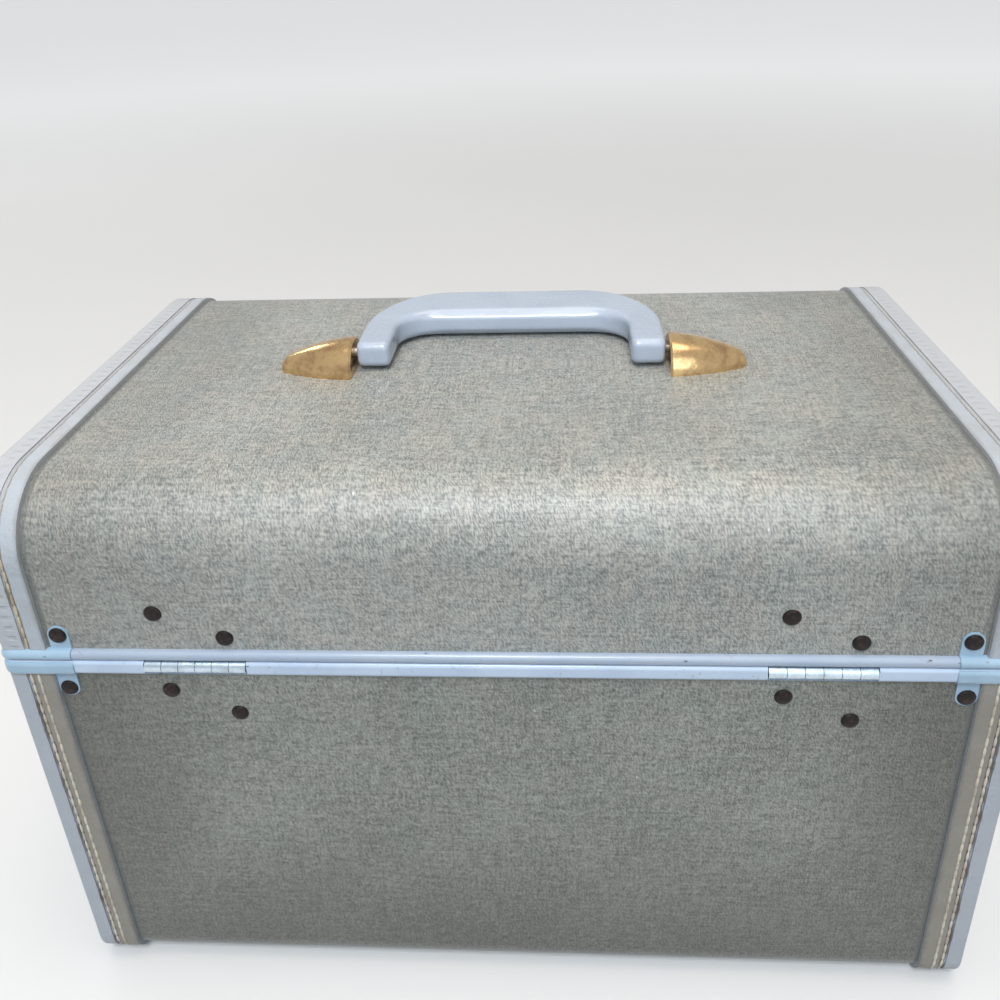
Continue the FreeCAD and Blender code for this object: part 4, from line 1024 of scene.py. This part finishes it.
@dataclass
class Metalwork:
    """Rim, corner clips, hinges, latches and every rivet, with radius and height of the heads."""

    large_head: tuple[float, float] = (3.0, 1.1)
    small_head: tuple[float, float] = (1.5, 0.75)

    def build(self) -> None:
        """Dress the metal and set the rivet heads."""
        rim = StoveEnamel("rim_enamel_paint", (0.56, 0.67, 0.82), (0.50, 0.61, 0.78), 0.30)
        # Painted shade: the lid's rim is the rim's enamel painted darker.
        shaded_lid_rim = StoveEnamel("lid_rim_enamel_paint", (0.40, 0.47, 0.58), (0.36, 0.44, 0.56), 0.30)
        clip = StoveEnamel("clip_enamel_paint", (0.37, 0.52, 0.66), (0.32, 0.47, 0.60), 0.10)
        cover(rim.material(), "base_valance")
        cover(shaded_lid_rim.material(), "lid_valance")
        cover(clip.material(), "base_corner_clips", "lid_corner_clips")
        bright = WornMetal("hinge_nickel", (0.60, 0.71, 0.80), (0.38, 0.43, 0.48), 0.24, 0.22)
        gilt = WornMetal("gilt_brass", (0.88, 0.62, 0.33), (0.66, 0.43, 0.24), 0.13, 0.10)
        # The caps' dark brown patches stand partly for tarnish and partly for painted dark
        # reflections.
        caps_with_painted_reflection = WornMetal("cap_brass", (0.86, 0.60, 0.30), (0.40, 0.23, 0.12), 0.12, 0.24)
        steel = WornMetal("plain_steel", (0.30, 0.28, 0.26), (0.14, 0.12, 0.11), 0.36, 0.16)
        leaves = ["base_hinge_leaf_", "lid_hinge_leaf_", "hinge_pin_"]
        fittings = ["lock_plate_", "latch_bolt_", "latch_button_", "hasp_", "hasp_hook_",
                    "hasp_mount_"]
        hidden = ["handle_plate_", "hasp_pin_"]
        for finish, stems in ((bright, leaves), (gilt, fittings), (caps_with_painted_reflection, ["handle_cap_"]),
                              (steel, hidden)):
            cover(finish.material(), *[stem + side.name.lower() for stem in stems for side in Side])
        cover(steel.material(), "handle_core", "handle_pins")
        lacquer, stud = RivetLacquer().material(), gilt.material()
        for half in HALVES:
            name = half.name.value
            for kind, radius, height, finish in (("clip", *self.large_head, lacquer),
                                                 ("hinge", *self.large_head, lacquer),
                                                 ("latch", *self.small_head, stud)):
                heads = RivetHeads(f"{name}_{kind}_rivets", name, radius, height)
                report(heads.build(finish))


@dataclass
class Handle:
    """Moulded carrying handle."""

    skin_cell: float = 0.6
    softening: int = 16

    def build(self) -> None:
        """Dress the grip."""
        plastic = MouldedPlastic("handle_plastic_blue", (0.44, 0.50, 0.60),
                                 (0.41, 0.47, 0.57), 0.20)
        cover(plastic.material(), "handle_grip")
        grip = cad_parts["handle_grip"]
        skin = grip.modifiers.new("one_skin", "REMESH")
        skin.mode = "VOXEL"
        skin.voxel_size = self.skin_cell * MM
        skin.use_smooth_shade = True
        soft = grip.modifiers.new("soft_edges", "SMOOTH")
        soft.factor = 0.5
        soft.iterations = self.softening


@dataclass
class Interior:
    """Boards, lining, tray, mirror and ledges."""

    def build(self) -> None:
        """Dress the boards and what shows when the lid is up."""
        ply = SawnWood("birch_plywood", (0.62, 0.45, 0.27), (0.46, 0.31, 0.17), 4.2).material()
        beech = SawnWood("beech_ledge", (0.58, 0.38, 0.22), (0.44, 0.27, 0.15)).material()
        lining = ShirredLining().material()
        tray = MouldedPlastic("tray_polystyrene", (0.70, 0.69, 0.64), (0.64, 0.63, 0.58), 0.28)
        surround = MouldedPlastic("mirror_surround", (0.62, 0.64, 0.66), (0.56, 0.58, 0.61), 0.24)
        boards = [half.name.value + end for half in HALVES
                  for end in ("_shell_board", "_end_board_left", "_end_board_right")]
        cover(ply, *boards)
        cover(beech, "tray_ledge_left", "tray_ledge_right")
        cover(lining, "base_lining", "lid_lining")
        cover(tray.material(), "tray_body", "tray_dividers")
        cover(surround.material(), "mirror_frame")
        cover(SilveredGlass().material(), "mirror")


def cover(finish: bpy.types.Material, *nodes: str) -> None:
    """Put a finish on the frame's own nodes.

    Args:
        finish: the material.
        *nodes: names of the nodes.
    """
    for name in nodes:
        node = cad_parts[name]
        for slot in node.material_slots:
            slot.material = finish
        LOG.info("%s dressed in %s", name, finish.name)


def report(piece: Object) -> None:
    """Log the size of a new piece."""
    triangles = sum(len(p.vertices) - 2 for p in piece.data.polygons)
    size = " x ".join(f"{value / MM:.1f}" for value in piece.dimensions)
    LOG.info("%s: %s mm, %d triangles", piece.name, size, triangles)


@dataclass(frozen=True)
class Lamp:
    """One large soft lamp, aimed at the case, with its place and side in metres."""

    name: str
    at: tuple[float, float, float]
    side: float
    watts: float
    tint: Colour

    def hang(self) -> None:
        """Hang the lamp."""
        data = bpy.data.lights.new(self.name, "AREA")
        data.shape = "SQUARE"
        data.size = self.side
        data.energy = self.watts
        data.color = self.tint
        lamp = bpy.data.objects.new(self.name, data)
        bpy.context.collection.objects.link(lamp)
        lamp.location = self.at
        aim = Vector(MIDDLE_OF_CASE) - Vector(self.at)
        lamp.rotation_euler = aim.to_track_quat("-Z", "Y").to_euler()


MIDDLE_OF_CASE = (0.0, 0.0, 0.12)
LAMPS = (
    Lamp("overhead", (-0.1, 0.10, 2.1), 1.2, 15.5, (1.0, 0.85, 0.69)),
    Lamp("key", (0.15, 1.15, 1.90), 0.55, 26.0, (0.90, 0.95, 1.0)),
    Lamp("rim", (1.1, -1.25, 1.2), 0.35, 1.8, (1.0, 0.97, 0.93)),
    Lamp("front", (-0.3, 1.9, 1.0), 1.5, 12.0, (0.84, 0.94, 1.0)),
)


@dataclass(frozen=True)
class Studio:
    """Floor, even surroundings and camera, with its place in metres and turns in degrees."""

    camera_at: tuple[float, float, float] = (-0.02308, 0.32813, 0.37314)
    yaw: float = -3.967
    pitch: float = 23.640
    roll: float = -2.352
    lens: float = 32.238
    shift: tuple[float, float] = (-0.01148, -0.15695)
    floor_half: float = 40.0
    backdrop: float = 0.56
    lift_between: tuple[float, float] = (450.0, 3000.0)
    lift: float = 0.42

    def floor(self) -> None:
        """Lay a plain pale floor that also looks plain in reflections."""
        Bench.clear()
        bpy.ops.mesh.primitive_plane_add(size=2 * self.floor_half)
        floor = bpy.context.object
        floor.name = "floor"
        mix = Mixer("floor_card")
        ray = mix.new("ShaderNodeLightPath")
        seen = mix.sum("MAXIMUM", ray.outputs["Is Camera Ray"], ray.outputs["Is Glossy Ray"])
        seen = mix.sum("MAXIMUM", seen, ray.outputs["Is Transmission Ray"])
        tone = mix.noise(mix.millimetres(), 0.002, 2.0)
        pale = mix.blend(tone, (0.80, 0.80, 0.80), (0.84, 0.84, 0.84))
        colour = mix.blend(seen, (0.14, 0.14, 0.14), pale)
        x, y, _ = mix.split(mix.millimetres())
        apart = mix.sum("SQRT", mix.sum("MULTIPLY_ADD", x, x, mix.sum("MULTIPLY", y, y)))
        lift = mix.sum("MULTIPLY", seen, mix.band(apart, *self.lift_between, 0.0, self.lift))
        floor.data.materials.append(mix.surface(colour, 0.9, Emission_Color=(1.0, 1.0, 1.0),
                                                Emission_Strength=lift))

    def sky(self) -> None:
        """Even surroundings, paler where the camera, a gloss or glass sees them."""
        world = bpy.data.worlds.new("surroundings")
        bpy.context.scene.world = world
        world.use_nodes = True
        nodes, links = world.node_tree.nodes, world.node_tree.links
        even, pale = nodes["Background"], nodes.new("ShaderNodeBackground")
        even.inputs["Color"].default_value = (0.93, 0.97, 1.0, 1.0)
        even.inputs["Strength"].default_value = 0.36
        pale.inputs["Color"].default_value = (0.98, 0.99, 1.0, 1.0)
        pale.inputs["Strength"].default_value = self.backdrop
        ray, shade = nodes.new("ShaderNodeLightPath"), even
        for kind in ("Is Camera Ray", "Is Glossy Ray", "Is Transmission Ray"):
            step = nodes.new("ShaderNodeMixShader")
            links.new(ray.outputs[kind], step.inputs[0])
            links.new(shade.outputs[0], step.inputs[1])
            links.new(pale.outputs[0], step.inputs[2])
            shade = step
        links.new(shade.outputs[0], nodes["World Output"].inputs["Surface"])

    def camera(self) -> None:
        """Set the camera at its place, turn and lens."""
        yaw, pitch, roll = (math.radians(a) for a in (self.yaw, self.pitch, self.roll))
        ahead = Vector((math.sin(yaw) * math.cos(pitch), math.cos(yaw) * math.cos(pitch),
                        -math.sin(pitch)))
        right = Vector((math.cos(yaw), -math.sin(yaw), 0.0))
        up = right.cross(ahead)
        right, up = (math.cos(roll) * right + math.sin(roll) * up,
                     -math.sin(roll) * right + math.cos(roll) * up)
        half_turn = Matrix.Rotation(math.pi, 3, "Z")
        axes = [half_turn @ axis for axis in (right, up, -ahead)]
        turn = Matrix(axes).transposed().to_4x4()
        data = bpy.data.cameras.new("camera")
        data.sensor_width = 36.0
        data.lens = self.lens
        data.shift_x, data.shift_y = self.shift
        data.clip_start = 0.01
        data.clip_end = 200.0
        camera = bpy.data.objects.new("camera", data)
        bpy.context.collection.objects.link(camera)
        camera.matrix_world = Matrix.Translation(self.camera_at) @ turn
        bpy.context.scene.camera = camera

    def build(self) -> None:
        """Set up the whole studio."""
        bpy.context.scene.view_settings.view_transform = "Standard"
        self.floor()
        for lamp in LAMPS:
            lamp.hang()
        self.sky()
        self.camera()


def main() -> None:
    """Build the case in order."""
    logging.basicConfig(level=logging.INFO, format="%(message)s")
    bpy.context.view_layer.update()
    Studio().build()
    Coverings().build()
    Metalwork().build()
    Handle().build()
    Interior().build()
    Bench.clear()


if __name__ == "__main__":
    main()
